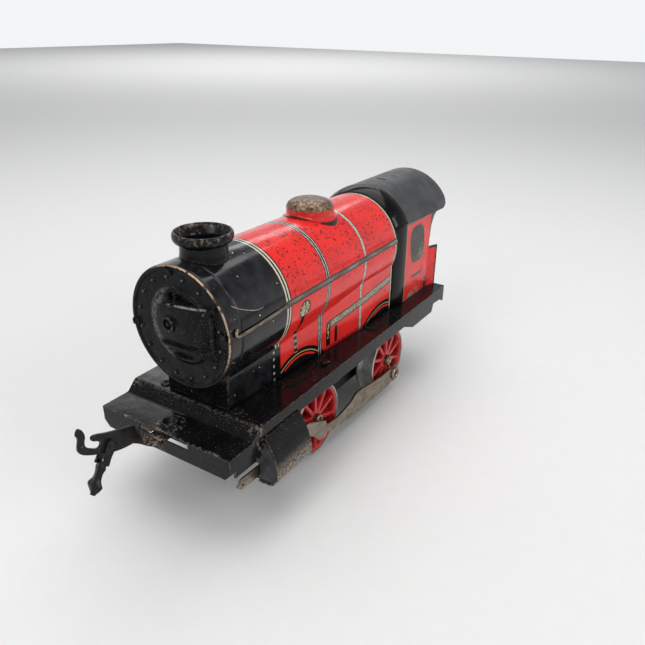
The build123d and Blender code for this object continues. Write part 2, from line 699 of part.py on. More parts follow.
# =============================================================================================
# Couplings: a strip twisted upright into a hook, its rivet, and the forked drop link
# =============================================================================================
hook_outline = [
    (-88.2, 42.1),
    (-94.7, 43.7),
    (-100.5, 46.1),
    (-100.9, 44.3),
    (-98.8, 43.2),
    (-98.3, 42.2),
    (-99.0, 41.3),
    (-102.3, 43.3),
    (-103.3, 45.1),
    (-102.6, 47.6),
    (-103.9, 50.4),
    (-105.1, 48.9),
    (-104.5, 47.5),
    (-105.4, 44.2),
    (-104.4, 42.4),
    (-98.0, 38.9),
    (-95.3, 37.8),
    (-91.2, 36.5),
    (-88.2, 36.1),
]
hang_forward = 8.1
hang_down = 12.6
hang_length = hypot(hang_forward, hang_down)
link_edge = [
    (1.75, -0.2),
    (1.75, 2.6),
    (2.9, 3.8),
    (2.9, 6.0),
    (1.8, 7.4),
    (1.9, 8.8),
    (2.8, 10.0),
    (2.6, 12.0),
    (1.9, 13.6),
    (1.0, 15.0),
]
for name, end, deck in (("front", 1, LOW_Z), ("rear", -1, DECK_Z)):
    hook_x = end * HOOK_X
    pivot_y = end * PIVOT_Y
    strip_z = deck - 1.8
    with BuildPart() as coupling:
        for step in range(5):
            turn = radians(90 * step / 4)
            y = end * (TWIST_START - 9.6 * step / 4)
            z = strip_z + (39.1 - strip_z) * step / 4
            plane = Plane((hook_x, y, z), x_dir=(cos(turn), 0, -end * sin(turn)), z_dir=(0, -1, 0))
            with BuildSketch(plane):
                Rectangle(6.0 - 0.3 * step / 4, 0.8 + 0.2 * step / 4)
        loft(ruled=True)
        block(
            (hook_x - 3.1, end * -69.6, strip_z - 0.45),
            (hook_x + 3.1, end * (TWIST_START - 0.3), strip_z + 0.45),
        )
        slab([(end * y, z) for y, z in hook_outline], hook_x - HOOK_T / 2, hook_x + HOOK_T / 2)
        rod_x((end * -96.9, 42.5), 0.5, hook_x - 2, hook_x + 2, mode=Mode.SUBTRACT)
        rod_x((end * EYE[0], EYE[1]), 0.8 + RUNNING, hook_x - 2, hook_x + 2, mode=Mode.SUBTRACT)
        rod_z((hook_x, pivot_y), 1.0 + RUNNING, deck - 4, deck, mode=Mode.SUBTRACT)
    write(coupling, f"{name}_coupling")

    with BuildPart() as coupling_rivet:
        rod_z((hook_x, pivot_y), 1.0, deck - 2.9, deck + 0.3)
        rod_z((hook_x, pivot_y), 2.9, deck, deck + 0.8)
        rod_z((hook_x, pivot_y), 2.0, deck - 2.9, deck - 2.4)
    write(coupling_rivet, f"{name}_coupling_rivet")

    link_plane = Plane(
        (hook_x, end * EYE[0], EYE[1]),
        x_dir=(1, 0, 0),
        z_dir=(0, -hang_down / hang_length, end * hang_forward / hang_length),
    )
    with BuildPart() as drop_link:
        right = [(x, -drop) for x, drop in link_edge]
        left = [(-x, y) for x, y in reversed(right)]
        with BuildSketch(link_plane.offset(-0.35)):
            with BuildLine():
                Polyline(*right, *left, close=True)
            make_face()
            with Locations((0, -2.2)):
                Rectangle(1.7, 7.6, mode=Mode.SUBTRACT)
        extrude(amount=0.7)
        for x in (hook_x - 1.75, hook_x + 0.85):
            rod_x((end * EYE[0], EYE[1]), 1.5, x, x + 0.9)
        rod_x((end * EYE[0], EYE[1]), 0.8, hook_x - 2.1, hook_x + 2.1)
    write(drop_link, f"{name}_drop_link")
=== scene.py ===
from math import asin, atan2, cos, exp, hypot, pi, radians, sin, sqrt

import bpy
from mathutils import Matrix, Vector
from mathutils.noise import noise as wave


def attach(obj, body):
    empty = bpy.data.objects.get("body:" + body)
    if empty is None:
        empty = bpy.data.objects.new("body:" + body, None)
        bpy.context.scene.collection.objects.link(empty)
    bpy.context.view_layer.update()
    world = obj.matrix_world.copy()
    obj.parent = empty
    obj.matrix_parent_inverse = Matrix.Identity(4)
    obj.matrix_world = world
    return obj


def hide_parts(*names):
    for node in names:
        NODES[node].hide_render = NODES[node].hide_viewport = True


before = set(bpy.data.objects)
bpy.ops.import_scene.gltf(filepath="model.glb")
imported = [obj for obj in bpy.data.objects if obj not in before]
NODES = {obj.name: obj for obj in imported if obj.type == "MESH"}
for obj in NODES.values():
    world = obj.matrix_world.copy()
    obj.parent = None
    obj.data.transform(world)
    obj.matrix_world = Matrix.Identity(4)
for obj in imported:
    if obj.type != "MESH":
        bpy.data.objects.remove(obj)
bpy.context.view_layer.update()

MM = 0.001

# Millimetres from here on, turned into metres where a mesh is made.
# The front faces -Y, +X is the engine's left side and z = 0 is under the flanges.
AXIS_Z = 64.9
BOILER_R = 19.9
NOSE_Y = -65.0
SADDLE_Y = -60.0
WAIST_Y = 15.0
BOILER_REAR = 39.5
RING_REAR = 47.5
CAB_HALF = 19.8
ROOF_R = 21.9
DECK_Z = 37.5
LOW_Z = 34.0
SADDLE_HALF = 12.8
WAIST_HALF = 18.3
FRONT_AXLE = (-21.6, 15.5)
REAR_AXLE = (33.8, 15.5)
CRANK_R = 8.0
CRANK_ANGLE = radians(-68)
CRANK = (REAR_AXLE[0] + CRANK_R * cos(CRANK_ANGLE), REAR_AXLE[1] + CRANK_R * sin(CRANK_ANGLE))
SIDES = (("left", 1), ("right", -1))
CHIMNEY_Y = -52.6
DOME_Y = 4.5
FRONT_PIVOT = (-1.0, -72.5)
REAR_PIVOT = (1.0, 72.5)
LINK_DOWN = (8.1, 12.6)
# smokebox front, from the boiler's axis
DOOR = (1.0, 1.0)
KNOB = (-2.4, 1.6)
HINGE_X = 14.0
STRAP_SLOPE = 0.06
RIVETS = 16
RIVET_R = 16.3
# wheels
SPOKES = 10
WHEEL_R = 13.2
WEB_X = 17.4


# ---- Camera, light and floor ----
def add_camera():
    """Camera at the photograph's viewpoint: left front, above, with a normal lens."""
    data = bpy.data.cameras.new("camera")
    data.lens = 35.74
    data.sensor_width = 36.0
    data.shift_x = -0.0091
    data.shift_y = 0.0106
    data.clip_start = 0.01
    camera = bpy.data.objects.new("camera", data)
    right = Vector((0.84389, 0.53637, 0.01274))
    up = Vector((-0.24392, 0.36241, 0.89953))
    back = right.cross(up)
    turn = Matrix((right, up, back)).transposed().to_4x4()
    camera.matrix_world = Matrix.Translation(Vector((0.12972, -0.18830, 0.14916))) @ turn
    bpy.context.scene.collection.objects.link(camera)
    bpy.context.scene.camera = camera


def add_area(name, place, target, size, power):
    """Square soft light that faces its target."""
    data = bpy.data.lights.new(name, "AREA")
    data.shape = "SQUARE"
    data.size = size
    data.energy = power
    light = bpy.data.objects.new(name, data)
    light.location = place
    light.rotation_euler = (Vector(target) - Vector(place)).to_track_quat("-Z", "Y").to_euler()
    bpy.context.scene.collection.objects.link(light)


def add_studio():
    """White tent, brighter at the horizon, with four soft lights and a pale floor."""
    bpy.context.scene.view_settings.view_transform = "Standard"
    world = bpy.data.worlds.new("studio")
    world.use_nodes = True
    tree = world.node_tree
    place = tree.nodes.new("ShaderNodeTexCoord")
    split = tree.nodes.new("ShaderNodeSeparateXYZ")
    tent = tree.nodes.new("ShaderNodeValToRGB")
    stops = ((0.05, (0.90, 0.91, 0.93, 1)), (0.75, (0.20, 0.205, 0.22, 1)))
    for element, (position, colour) in zip(tent.color_ramp.elements, stops):
        element.position = position
        element.color = colour
    tree.links.new(place.outputs["Generated"], split.inputs[0])
    tree.links.new(split.outputs["Z"], tent.inputs["Fac"])
    tree.links.new(tent.outputs["Color"], tree.nodes["Background"].inputs["Color"])
    tree.nodes["Background"].inputs["Strength"].default_value = 1.0
    bpy.context.scene.world = world
    middle = (0.0, 0.0, 0.05)
    add_area("overhead", (-0.10, 0.10, 0.75), middle, 0.8, 5.0)
    add_area("left_side", (0.75, 0.05, 0.42), middle, 0.35, 2.3)
    add_area("front", (-0.05, -0.75, 0.65), (0.0, -0.15, 0.0), 0.5, 3.0)
    add_area("backdrop", (-1.3, 1.75, 1.3), (-1.5, 2.2, 0.0), 1.6, 24.0)
    floor_data = bpy.data.meshes.new("floor")
    floor_data.from_pydata([(-3, -3, 0), (3, -3, 0), (3, 3, 0), (-3, 3, 0)], [], [(0, 1, 2, 3)])
    floor = bpy.data.objects.new("floor", floor_data)
    bpy.context.scene.collection.objects.link(floor)
    paint = Paint("floor_paper", roughness=0.75)
    tone = paint.mix(paint.noise(6.0, 3), (0.65, 0.65, 0.64), (0.68, 0.68, 0.67))
    paint.feed(tone, paint.shader.inputs["Base Color"])
    floor_data.materials.append(paint.material)


# ---- Node helper ----
class Signal:
    """A node's output, with arithmetic. Between masks * keeps what both have, and | what either has."""

    def __init__(self, paint, socket):
        self.paint = paint
        self.socket = socket

    def __add__(self, other):
        return self.paint.math("ADD", self, other)

    def __sub__(self, other):
        return self.paint.math("SUBTRACT", self, other)

    def __rsub__(self, other):
        return self.paint.math("SUBTRACT", other, self)

    def __mul__(self, other):
        return self.paint.math("MULTIPLY", self, other)

    def __pow__(self, other):
        return self.paint.math("POWER", self, other)

    def __or__(self, other):
        return self.paint.math("MAXIMUM", self, other)

    def __abs__(self):
        return self.paint.math("ABSOLUTE", self)

    def root(self):
        return self.paint.math("SQRT", self)

    def fraction(self):
        return self.paint.math("FRACT", self)

    def step(self, low, high):
        """0 below low, 1 above high, smooth between; low may be the larger."""
        flip = low > high
        limits = {
            "Value": self,
            "From Min": min(low, high),
            "From Max": max(low, high),
            "To Min": 1.0 if flip else 0.0,
            "To Max": 0.0 if flip else 1.0,
        }
        node = self.paint.add("MapRange", limits, interpolation_type="SMOOTHSTEP")
        return Signal(self.paint, node.outputs[0])

    def band(self, low, high, soft=0.12):
        """1 between low and high."""
        return self.step(low - soft, low + soft) * self.step(high + soft, high - soft)


class Paint:
    """A principled material built from the piece's own coordinates in millimetres."""

    def __init__(self, name, **constants):
        self.material = bpy.data.materials.new(name)
        self.material.use_nodes = True
        self.tree = self.material.node_tree
        self.shader = self.tree.nodes["Principled BSDF"]
        self.tone = None
        names = {
            "roughness": "Roughness",
            "coat": "Coat Weight",
            "coat_roughness": "Coat Roughness",
            "specular": "Specular IOR Level",
        }
        for key, value in constants.items():
            self.shader.inputs[names[key]].default_value = value
        source = Signal(self, self.add("TexCoord").outputs["Object"])
        place = self.add("VectorMath", {0: source, "Scale": 1 / MM}, operation="SCALE")
        self.vector = Signal(self, place.outputs[0])
        split = self.add("SeparateXYZ", {0: self.vector})
        self.x, self.y, self.z = (Signal(self, socket) for socket in split.outputs)

    def add(self, kind, inputs=None, **settings):
        """Adds a shader node, with its settings first and its inputs fed after that."""
        node = self.tree.nodes.new(f"ShaderNode{kind}")
        for key, value in settings.items():
            setattr(node, key, value)
        for key, value in (inputs or {}).items():
            self.feed(value, node.inputs[key])
        return node

    def feed(self, value, socket):
        """Links a signal, or sets a number or colour."""
        if isinstance(value, Signal):
            self.tree.links.new(value.socket, socket)
        elif isinstance(value, tuple) and len(value) == 3 and socket.type == "RGBA":
            socket.default_value = (*value, 1)
        else:
            socket.default_value = value

    def math(self, operation, *values, clamp=False):
        """One operation on signals or numbers."""
        node = self.add("Math", dict(enumerate(values)), operation=operation, use_clamp=clamp)
        return Signal(self, node.outputs[0])

    def mix(self, factor, first, second):
        """The first colour where the factor is 0, the second where it is 1."""
        node = self.add("Mix", {0: factor, 6: first, 7: second}, data_type="RGBA")
        return Signal(self, node.outputs[2])

    def lay(self, mask, tone):
        """Covers the colour so far where the mask is 1."""
        self.tone = self.mix(mask, self.tone, tone)

    def noise(self, grain, detail=2.0, stretch=None, distortion=0.0):
        """Noise whose features are about grain millimetres across, finer along a stretched axis."""
        vector = self.vector
        if stretch:
            node = self.add("VectorMath", {0: vector, 1: stretch}, operation="MULTIPLY")
            vector = Signal(self, node.outputs[0])
        grains = {"Vector": vector, "Scale": 1 / grain, "Detail": detail, "Distortion": distortion}
        return Signal(self, self.add("TexNoise", grains).outputs[0])

    def cells(self, size):
        """Distance to the nearest of scattered points, size millimetres apart."""
        node = self.add("TexVoronoi", {"Vector": self.vector, "Scale": 1 / size})
        return Signal(self, node.outputs["Distance"])

    def edges(self, radius=0.35, low=0.02, high=0.3):
        """Worn edges: where a rounded normal leaves the true one, broken up by noise."""
        rounded = Signal(self, self.add("Bevel", {"Radius": radius * MM}, samples=6).outputs[0])
        true = Signal(self, self.add("NewGeometry").outputs["Normal"])
        dot = self.add("VectorMath", {0: rounded, 1: true}, operation="DOT_PRODUCT")
        turn = 1.0 - Signal(self, dot.outputs["Value"])
        return (turn * self.noise(1.2, 4.0).step(0.38, 0.62)).step(low, high)

    def finish(self, colour, rough, metal, height, depth):
        """Feeds the shader, with a bump of depth millimetres for a height of 0 to 1."""
        bump = self.add("Bump", {"Strength": 1.0, "Distance": depth * MM, "Height": height})
        surface = {
            "Base Color": colour,
            "Roughness": rough,
            "Metallic": metal,
            "Normal": Signal(self, bump.outputs[0]),
        }
        for name, value in surface.items():
            self.feed(value, self.shader.inputs[name])
        return self.material


def distance(first, second, centre):
    """Distance in the plane of two coordinates from a centre."""
    a = first - centre[0]
    b = second - centre[1]
    return (a * a + b * b).root()


# ---- Materials ----
RED = (0.68, 0.022, 0.018)
BLACK = (0.0035, 0.0035, 0.004)
CREAM = (0.50, 0.47, 0.36)
GOLD = (0.42, 0.31, 0.12)
BARE = (0.40, 0.33, 0.26)
COPPER = (0.30, 0.16, 0.09)
PALE = (0.75, 0.73, 0.66)
GRIME = (0.018, 0.009, 0.007)


def chips(paint, size=2.2, amount=0.10):
    """Small scattered chips: tiny round cells, only in some patches."""
    return paint.cells(size).step(amount, amount * 0.55) * paint.noise(9.0).step(0.47, 0.6)


def scratches(paint, stretch, low=0.685, high=0.72):
    """Fine scratches along the short direction of the stretch."""
    return paint.noise(1.0, 3.0, stretch=stretch).step(low, high)


def finish_enamel(paint, colour, wear, base_rough=0.16, smear=0.30, bump_depth=0.05):
    """Common enamel surface: metal where worn and where a painted highlight rides on the wear mask, smeary
    gloss, a little orange peel.
    """
    smudge = paint.noise(7.0, 4.0, distortion=0.6)
    fine = paint.noise(0.8, 3.0)
    gloss = fine * 0.08 + (smudge.step(0.42, 0.68) * smear + base_rough)
    rough = paint.math("MULTIPLY_ADD", wear, 0.22, gloss, clamp=True)
    lumps = paint.noise(16.0) * 3.0 + fine * 0.4 - wear * 0.4
    return paint.finish(colour, rough, wear * 0.85, lumps, bump_depth)


def black_enamel(
    name, tint=BLACK, edge=COPPER, edge_radius=0.45, extra_wear_and_highlights=None, chip_size=2.0, gloss=0.10
):
    """Glossy stoved black with chipped, coppery edges, pale specks and fine painted glints."""
    paint = Paint(name, specular=0.17)
    specks = chips(paint, chip_size, 0.13)
    tone = paint.mix(paint.noise(5.0, 5.0).step(0.4, 0.75), tint, tuple(c * 2.0 for c in tint))
    hairlines = scratches(paint, (0.35, 2.6, 2.6)) * paint.noise(12.0).step(0.5, 0.6)
    tone = paint.mix(hairlines, tone, (0.06, 0.055, 0.05))
    # painted glints: fine pale specks that stand in for sparkle on the gloss
    pale_glints = paint.noise(0.45, 3.0).step(0.58, 0.72) * paint.noise(6.0, 4.0).step(0.42, 0.62)
    tone = paint.mix(pale_glints * 0.5, tone, (0.075, 0.065, 0.055))
    wear = paint.edges(edge_radius, 0.05, 0.35) | specks * 0.6
    # the extra mask may hold painted highlights as well as wear, both laid on as bare metal
    if extra_wear_and_highlights:
        wear = wear | extra_wear_and_highlights(paint)
    bare = paint.mix(paint.noise(1.6, 3.0), edge, BARE)
    return finish_enamel(paint, paint.mix(wear, tone, bare), wear, base_rough=gloss, smear=0.13)


def front_material():
    """Smokebox front: black with painted pale glints, a painted grey crescent highlight on the door's -X
    side, and painted highlights on strap, hinge, knob and rivets, the strap also worn.
    """
    paint = Paint("smokebox_front_black", specular=0.09)
    up = paint.z - AXIS_Z
    reach = distance(paint.x, up, DOOR)
    # painted highlight: a grey crescent along the door's -X rim, where the dished door catches the light
    crescent_highlight = reach.band(9.5, 12.6, 0.9) * paint.x.step(-1.0, -6.0) * paint.noise(1.2, 5.0).step(0.38, 0.6)
    tone = paint.mix(
        paint.noise(3.0, 5.0).step(0.42, 0.75), (0.004, 0.004, 0.005), (0.009, 0.009, 0.010)
    )
    tone = paint.mix(crescent_highlight * 0.8, tone, (0.10, 0.10, 0.105))
    specks = chips(paint, 1.4, 0.12) | chips(paint, 0.9, 0.16) * 0.7
    tone = paint.mix(specks, tone, (0.16, 0.12, 0.09))
    # strap top edge: worn metal and a painted highlight
    strap = paint.x * -STRAP_SLOPE + up
    bright = strap.band(8.15, 8.55, 0.3) * paint.x.band(-3.0, 13.0, 0.8)
    bright = bright * paint.noise(1.0, 4.0, stretch=(2.2, 1.0, 0.4)).step(0.32, 0.56)
    # painted highlight down the hinge
    hinge = paint.x.band(13.1, 13.5, 0.25) * up.band(-7.5, 9.5, 0.8)
    hinge = hinge * paint.noise(1.0, 4.0, stretch=(1.0, 1.0, 2.2)).step(0.42, 0.66)
    # painted highlight round the knob
    away = distance(paint.x, up, KNOB)
    knob = away.band(2.15, 2.35, 0.2) * paint.noise(1.0, 3.0).step(0.46, 0.6)
    # painted highlights on the rivets
    turn = paint.math("COSINE", paint.math("ARCTAN2", up, paint.x) * RIVETS)
    ring = distance(paint.x, up, (0.0, 0.0))
    rivets = ring.band(16.15, 16.65, 0.2) * turn.step(-0.9, -0.98)
    bright = bright | hinge * 0.6 | knob * 0.4 | rivets * 0.35
    tone = paint.mix(bright, tone, (0.36, 0.35, 0.335))
    # the painted strap, hinge, knob and rivet highlights also count as worn metal here
    wear = specks * 0.5 | bright * 0.45
    # painted glints: fine pale specks that stand in for sparkle on the gloss
    pale_glints = paint.noise(0.5, 3.0).step(0.56, 0.72) * paint.noise(5.0, 4.0).step(0.4, 0.62)
    tone = paint.mix(pale_glints * 0.6, tone, (0.085, 0.085, 0.09))
    return finish_enamel(paint, tone, wear, base_rough=0.11, smear=0.12, bump_depth=0.09)


def deck_material():
    """Footplate: black, with a painted highlight and sheen along the ramp's crest, and rubbed platform
    corners, front edge and eyelet surround.
    """

    # worn metal at the platform corners, front edge and eyelet surround, plus a painted highlight and sheen
    # on the ramp
    def rubbed(paint):
        ragged = paint.noise(1.4, 5.0)
        side = abs(paint.x)
        brow = ragged * 1.6 + paint.z
        # painted highlight along the ramp's crest, laid on as bare metal
        ramp = paint.y.band(-64.2, -62.0, 0.2) * brow.band(37.95, 38.3, 0.3)
        ramp = ramp * paint.noise(0.7, 3.0).step(0.42, 0.6)
        # painted sheen: fine pale sparkle over the ramp
        lustre = paint.y.band(-65.2, -62.6, 1.4) * paint.noise(0.45, 3.0).step(0.54, 0.74)
        reach = distance(paint.x, paint.y, FRONT_PIVOT)
        halo = reach.band(2.8, 4.6, 1.0) * paint.noise(1.1, 4.0).step(0.48, 0.62)
        corner = side.step(21.5, 26.0) * paint.y.band(-64.5, -60.5, 1.0) * ragged.step(0.52, 0.62)
        front = paint.y.band(-77.5, -76.3, 0.2) * ragged.step(0.52, 0.66) * paint.z.step(33.0, 34.0)
        return (ramp * 0.6 | lustre * 0.35 | corner | front | halo) * 0.5

    # the edge colour serves the worn metal and the painted ramp highlight alike
    return black_enamel(
        "footplate_black", edge=(0.26, 0.22, 0.19), extra_wear_and_highlights=rubbed, chip_size=1.7, gloss=0.07
    )


def cylinder_material():
    """Cylinder cover: black above, worn to bright metal underneath."""

    def rubbed(paint):
        ragged = paint.noise(0.9, 6.0, stretch=(1.0, 2.4, 1.0), distortion=0.4)
        low = (ragged * 9.0 + paint.z).step(30.5, 25.5)
        return low * ragged.step(0.4, 0.58) * 0.85

    return black_enamel(
        "cylinder_black", edge=(0.30, 0.24, 0.19), extra_wear_and_highlights=rubbed, edge_radius=0.6, chip_size=1.3
    )


def arc_print(paint, centre, radius):
    """Printed splasher: black arc, thin gold line, black, a sliver of red left inside."""
    reach = distance(paint.y, paint.z, centre)
    black = reach.step(radius + 0.12, radius - 0.12)
    gold = reach.band(radius - 1.75, radius - 1.35, 0.08)
    sliver = reach.band(radius - 3.2, radius - 2.4, 0.1) * paint.z.step(39.0, 39.8)
    return black, gold, sliver


def boiler_material():
    """Tin-printed boiler: red with black-edged bands, a rail, a speckled rod, splashers and fittings."""
    paint = Paint("boiler_litho", coat=0.16, coat_roughness=0.05, specular=0.26)
    # the print's edges wander a little
    wander = paint.noise(2.2, 3.0) * 0.35 + -0.17
    y = paint.y + wander
    z = paint.z + wander
    side = abs(paint.x).step(12.0, 13.0)

    red = paint.mix(paint.noise(11.0, 4.0).step(0.35, 0.7), RED, tuple(c * 0.86 for c in RED))
    high = paint.z.step(58.0, 76.0)
    coarse = paint.cells(1.6).step(0.33, 0.22) * paint.noise(5.0, 4.0).step(0.45, 0.53)
    fine = paint.cells(0.8).step(0.38, 0.24) * paint.noise(3.5, 3.0).step(0.48, 0.56)
    speck = (coarse | fine) * (high * 0.75 + 0.25)
    nicks = scratches(paint, (1.1, 0.5, 0.3), 0.66, 0.69) * paint.noise(8.0).step(0.5, 0.56)
    paint.tone = paint.mix((speck | nicks) * 0.85, red, GRIME)

    # splashers
    for centre, radius in (((-24.5, 26.6), 18.0), ((31.0, 19.6), 24.0)):
        black, gold, sliver = arc_print(paint, centre, radius)
        paint.lay(black * side, BLACK)
        paint.lay(gold * side, GOLD)
        paint.lay(sliver * side, RED)
    # bands: black edges first, mottled grey or cream inside
    dull, light = (tuple(c * share for c in PALE) for share in (0.35, 0.62))
    for low, high, edge in ((-14.2, -11.7, 0.42), (12.3, 14.1, 0.25)):
        paint.lay(y.band(low, high, 0.08), BLACK)
        mottled = paint.mix(paint.noise(1.0, 4.0).step(0.35, 0.65), dull, light)
        paint.lay(y.band(low + edge, high - edge, 0.08), mottled)
    paint.lay(y.band(-13.3, -12.6, 0.08), BLACK)
    paint.lay(y.band(-38.1, -34.9, 0.08), BLACK)
    for low, high in ((-37.6, -36.9), (-36.2, -35.5)):
        paint.lay(y.band(low, high, 0.07), CREAM)
    paint.lay(y.step(37.2, 37.4), BLACK)
    paint.lay(y.band(37.6, 38.5, 0.1), paint.mix(paint.noise(1.5, 3.0), (0.30, 0.27, 0.17), CREAM))
    # speckled reversing rod with its bracket
    (y_low, z_low), (y_high, z_high) = (-7.5, 47.5), (41.0, 52.3)
    slope = (z_high - z_low) / (y_high - y_low)
    across_bar = z - (y * slope + (z_low - y_low * slope))
    run = paint.y.band(-8.6, 37.3, 0.15) * side
    speckle = paint.mix(paint.noise(0.55, 4.0).step(0.42, 0.62), (0.10, 0.095, 0.07), (0.40, 0.36, 0.24))
    paint.lay(across_bar.band(-1.65, 1.65, 0.1) * run, BLACK)
    paint.lay(across_bar.band(-1.15, 1.15, 0.1) * run, speckle)
    bracket = paint.y.band(-9.2, -6.6, 0.15) * paint.z.band(39.0, 48.6, 0.2)
    bracket = bracket | paint.y.band(-3.9, -2.2, 0.15) * paint.z.band(39.0, 45.6, 0.2)
    paint.lay(bracket * side, BLACK)
    shine = paint.y.band(-8.5, -7.4, 0.15) * paint.z.band(42.0, 48.0, 0.3)
    paint.lay(shine * paint.noise(1.5, 3.0).step(0.45, 0.55) * side, GOLD)
    # clack valve with its pipe
    reach = distance(paint.y, paint.z, (-27.3, 62.0))
    pipe = (paint.z * 0.06 + paint.y).band(-24.9, -23.2, 0.1) * paint.z.band(44.0, 59.5, 0.2)
    beads = pipe * (paint.z * 0.42).fraction().band(0.2, 0.65, 0.1) * paint.z.step(52.0, 51.0)
    paint.lay(pipe * side, BLACK)
    paint.lay(beads * side, (0.24, 0.21, 0.12))
    paint.lay(reach.step(3.35, 3.15) * side, BLACK)
    knob = paint.mix(paint.noise(0.9, 4.0, distortion=1.0).step(0.42, 0.6), BLACK, (0.50, 0.42, 0.22))
    paint.lay(reach.step(2.85, 2.65) * side, knob)
    # handrail
    rail = paint.y * -0.012 + z
    paint.lay(rail.band(66.35, 68.65, 0.15) * side, (0.035, 0.015, 0.013))
    rubbed = paint.noise(2.5, 4.0, stretch=(1, 0.3, 1)).step(0.4, 0.65)
    worn_rail = paint.mix(rubbed, (0.085, 0.062, 0.052), (0.22, 0.18, 0.15))
    paint.lay(rail.band(66.85, 68.1, 0.15) * side, worn_rail)

    # smokebox
    box = paint.y.step(-38.0, -38.2)
    soot = paint.mix(paint.noise(4.0, 5.0).step(0.35, 0.7), BLACK, (0.014, 0.014, 0.016))
    pale = chips(paint, 2.4, 0.14) * paint.noise(3.0).step(0.45, 0.55)
    soot = paint.mix(pale, soot, PALE)
    line = scratches(paint, (1.6, 0.35, 1.2), 0.72, 0.74) * paint.noise(14.0).step(0.48, 0.55)
    soot = paint.mix(line, soot, (0.22, 0.20, 0.17))
    paint.lay(box, soot)
    dots = (paint.z * 0.38).fraction().band(0.35, 0.7, 0.12)
    skirt = paint.z.step(50.5, 49.5)
    paint.lay(skirt * side * paint.y.band(-39.6, -35.4, 0.1), BLACK)
    paint.lay(skirt * side * dots * paint.y.band(-38.7, -37.9, 0.1), (0.34, 0.32, 0.25))

    low_edge = paint.z.step(39.2, 38.2) * paint.noise(1.2, 4.0).step(0.45, 0.6)
    wear = (low_edge | pale * box) * 0.5
    return finish_enamel(paint, paint.tone, wear, base_rough=0.09, smear=0.10, bump_depth=0.03)


def cab_side_material():
    """Tin-printed cab side: red panel, dark arched window with pale strokes, a dash plate, lining."""
    paint = Paint("cab_litho", coat=0.15, coat_roughness=0.05, specular=0.25)
    wander = paint.noise(2.0, 3.0) * 0.4 + -0.2
    y = paint.y + wander
    z = paint.z + wander
    red = paint.mix(paint.noise(9.0, 4.0).step(0.35, 0.7), (0.66, 0.030, 0.026), (0.55, 0.020, 0.018))
    paint.tone = paint.mix(chips(paint, 1.4, 0.18) * 0.7, red, GRIME)

    outside = abs(paint.x).step(19.55, 19.65)
    # window, round on top, its foot leaning towards the rear
    lean = paint.z * 0.15 + y
    across = abs((lean - 68.4) * (1 / 6.6))
    height = abs((z - 61.5) * (1 / 8.3))
    reach = across ** 2.8 + height ** 3.6
    window = reach.step(1.04, 0.96)
    strokes = paint.noise(1.0, 3.0, stretch=(1, 1.8, 0.4), distortion=1.0).step(0.54, 0.6)
    low_part = (paint.y * -0.9 + paint.z).step(5.0, -1.0)
    glass = paint.mix(strokes * low_part, (0.010, 0.012, 0.010), (0.30, 0.26, 0.13))
    glass = paint.mix(paint.noise(0.7, 3.0).step(0.6, 0.68), glass, (0.10, 0.095, 0.08))
    paint.lay(window * outside, glass)
    paint.lay(reach.band(1.0, 1.16, 0.05) * outside, (0.10, 0.02, 0.015))
    # dash plate
    level = paint.y * 0.03 + z
    paint.lay(y.band(54.6, 66.0, 0.15) * level.band(48.0, 49.3, 0.15) * outside, (0.055, 0.035, 0.04))
    # lining along the front, the top and the rear edges
    paint.lay(paint.y.step(48.2, 48.0), BLACK)
    paint.lay(y.band(48.2, 48.8, 0.08), (0.20, 0.15, 0.075))
    rear = y.step(75.9, 76.2) | z.step(55.4, 55.7) * paint.y.step(71.9, 72.1)
    paint.lay(rear, (0.020, 0.017, 0.017))
    brow = z.step(56.5, 57.0) * (paint.z * -0.09 + y).step(65.9, 66.2)
    paint.lay(brow, (0.045, 0.03, 0.025))
    paint.lay(z.step(71.5, 71.9), (0.13, 0.095, 0.07))
    foot = z.step(40.8, 39.9) * paint.noise(2.2, 3.0).step(0.44, 0.56) * y.band(53.0, 64.0, 1.0)
    paint.lay(foot, (0.24, 0.20, 0.12))
    paint.lay(y.band(68.4, 71.6, 0.2) * z.step(43.0, 42.2), (0.14, 0.004, 0.006))
    # plain primer inside the cab
    inner = paint.mix(paint.noise(5.0, 3.0).step(0.4, 0.6), (0.16, 0.13, 0.09), (0.24, 0.20, 0.13))
    paint.lay(abs(paint.x).step(19.38, 19.34) * (1.0 - outside), inner)
    wear = paint.edges(0.3) * 0.6
    return finish_enamel(
        paint, paint.mix(wear, paint.tone, BARE), wear, base_rough=0.14, smear=0.18, bump_depth=0.03
    )


def roof_material():
    """Satin black roof with dust, scuffs and a rubbed rim."""
    paint = Paint("roof_black", coat=0.05)
    dust = paint.noise(6.0, 5.0, distortion=0.5).step(0.35, 0.75)
    tone = paint.mix(dust, (0.016, 0.017, 0.019), (0.034, 0.035, 0.038))
    tone = paint.mix(scratches(paint, (1.4, 0.3, 1.4), 0.69, 0.73), tone, (0.07, 0.065, 0.06))
    wear = paint.edges(0.35, 0.05, 0.35) | chips(paint, 2.6, 0.12) * 0.6
    tone = paint.mix(wear, tone, (0.13, 0.09, 0.065))
    return finish_enamel(paint, tone, wear * 0.6, base_rough=0.36, smear=0.20)


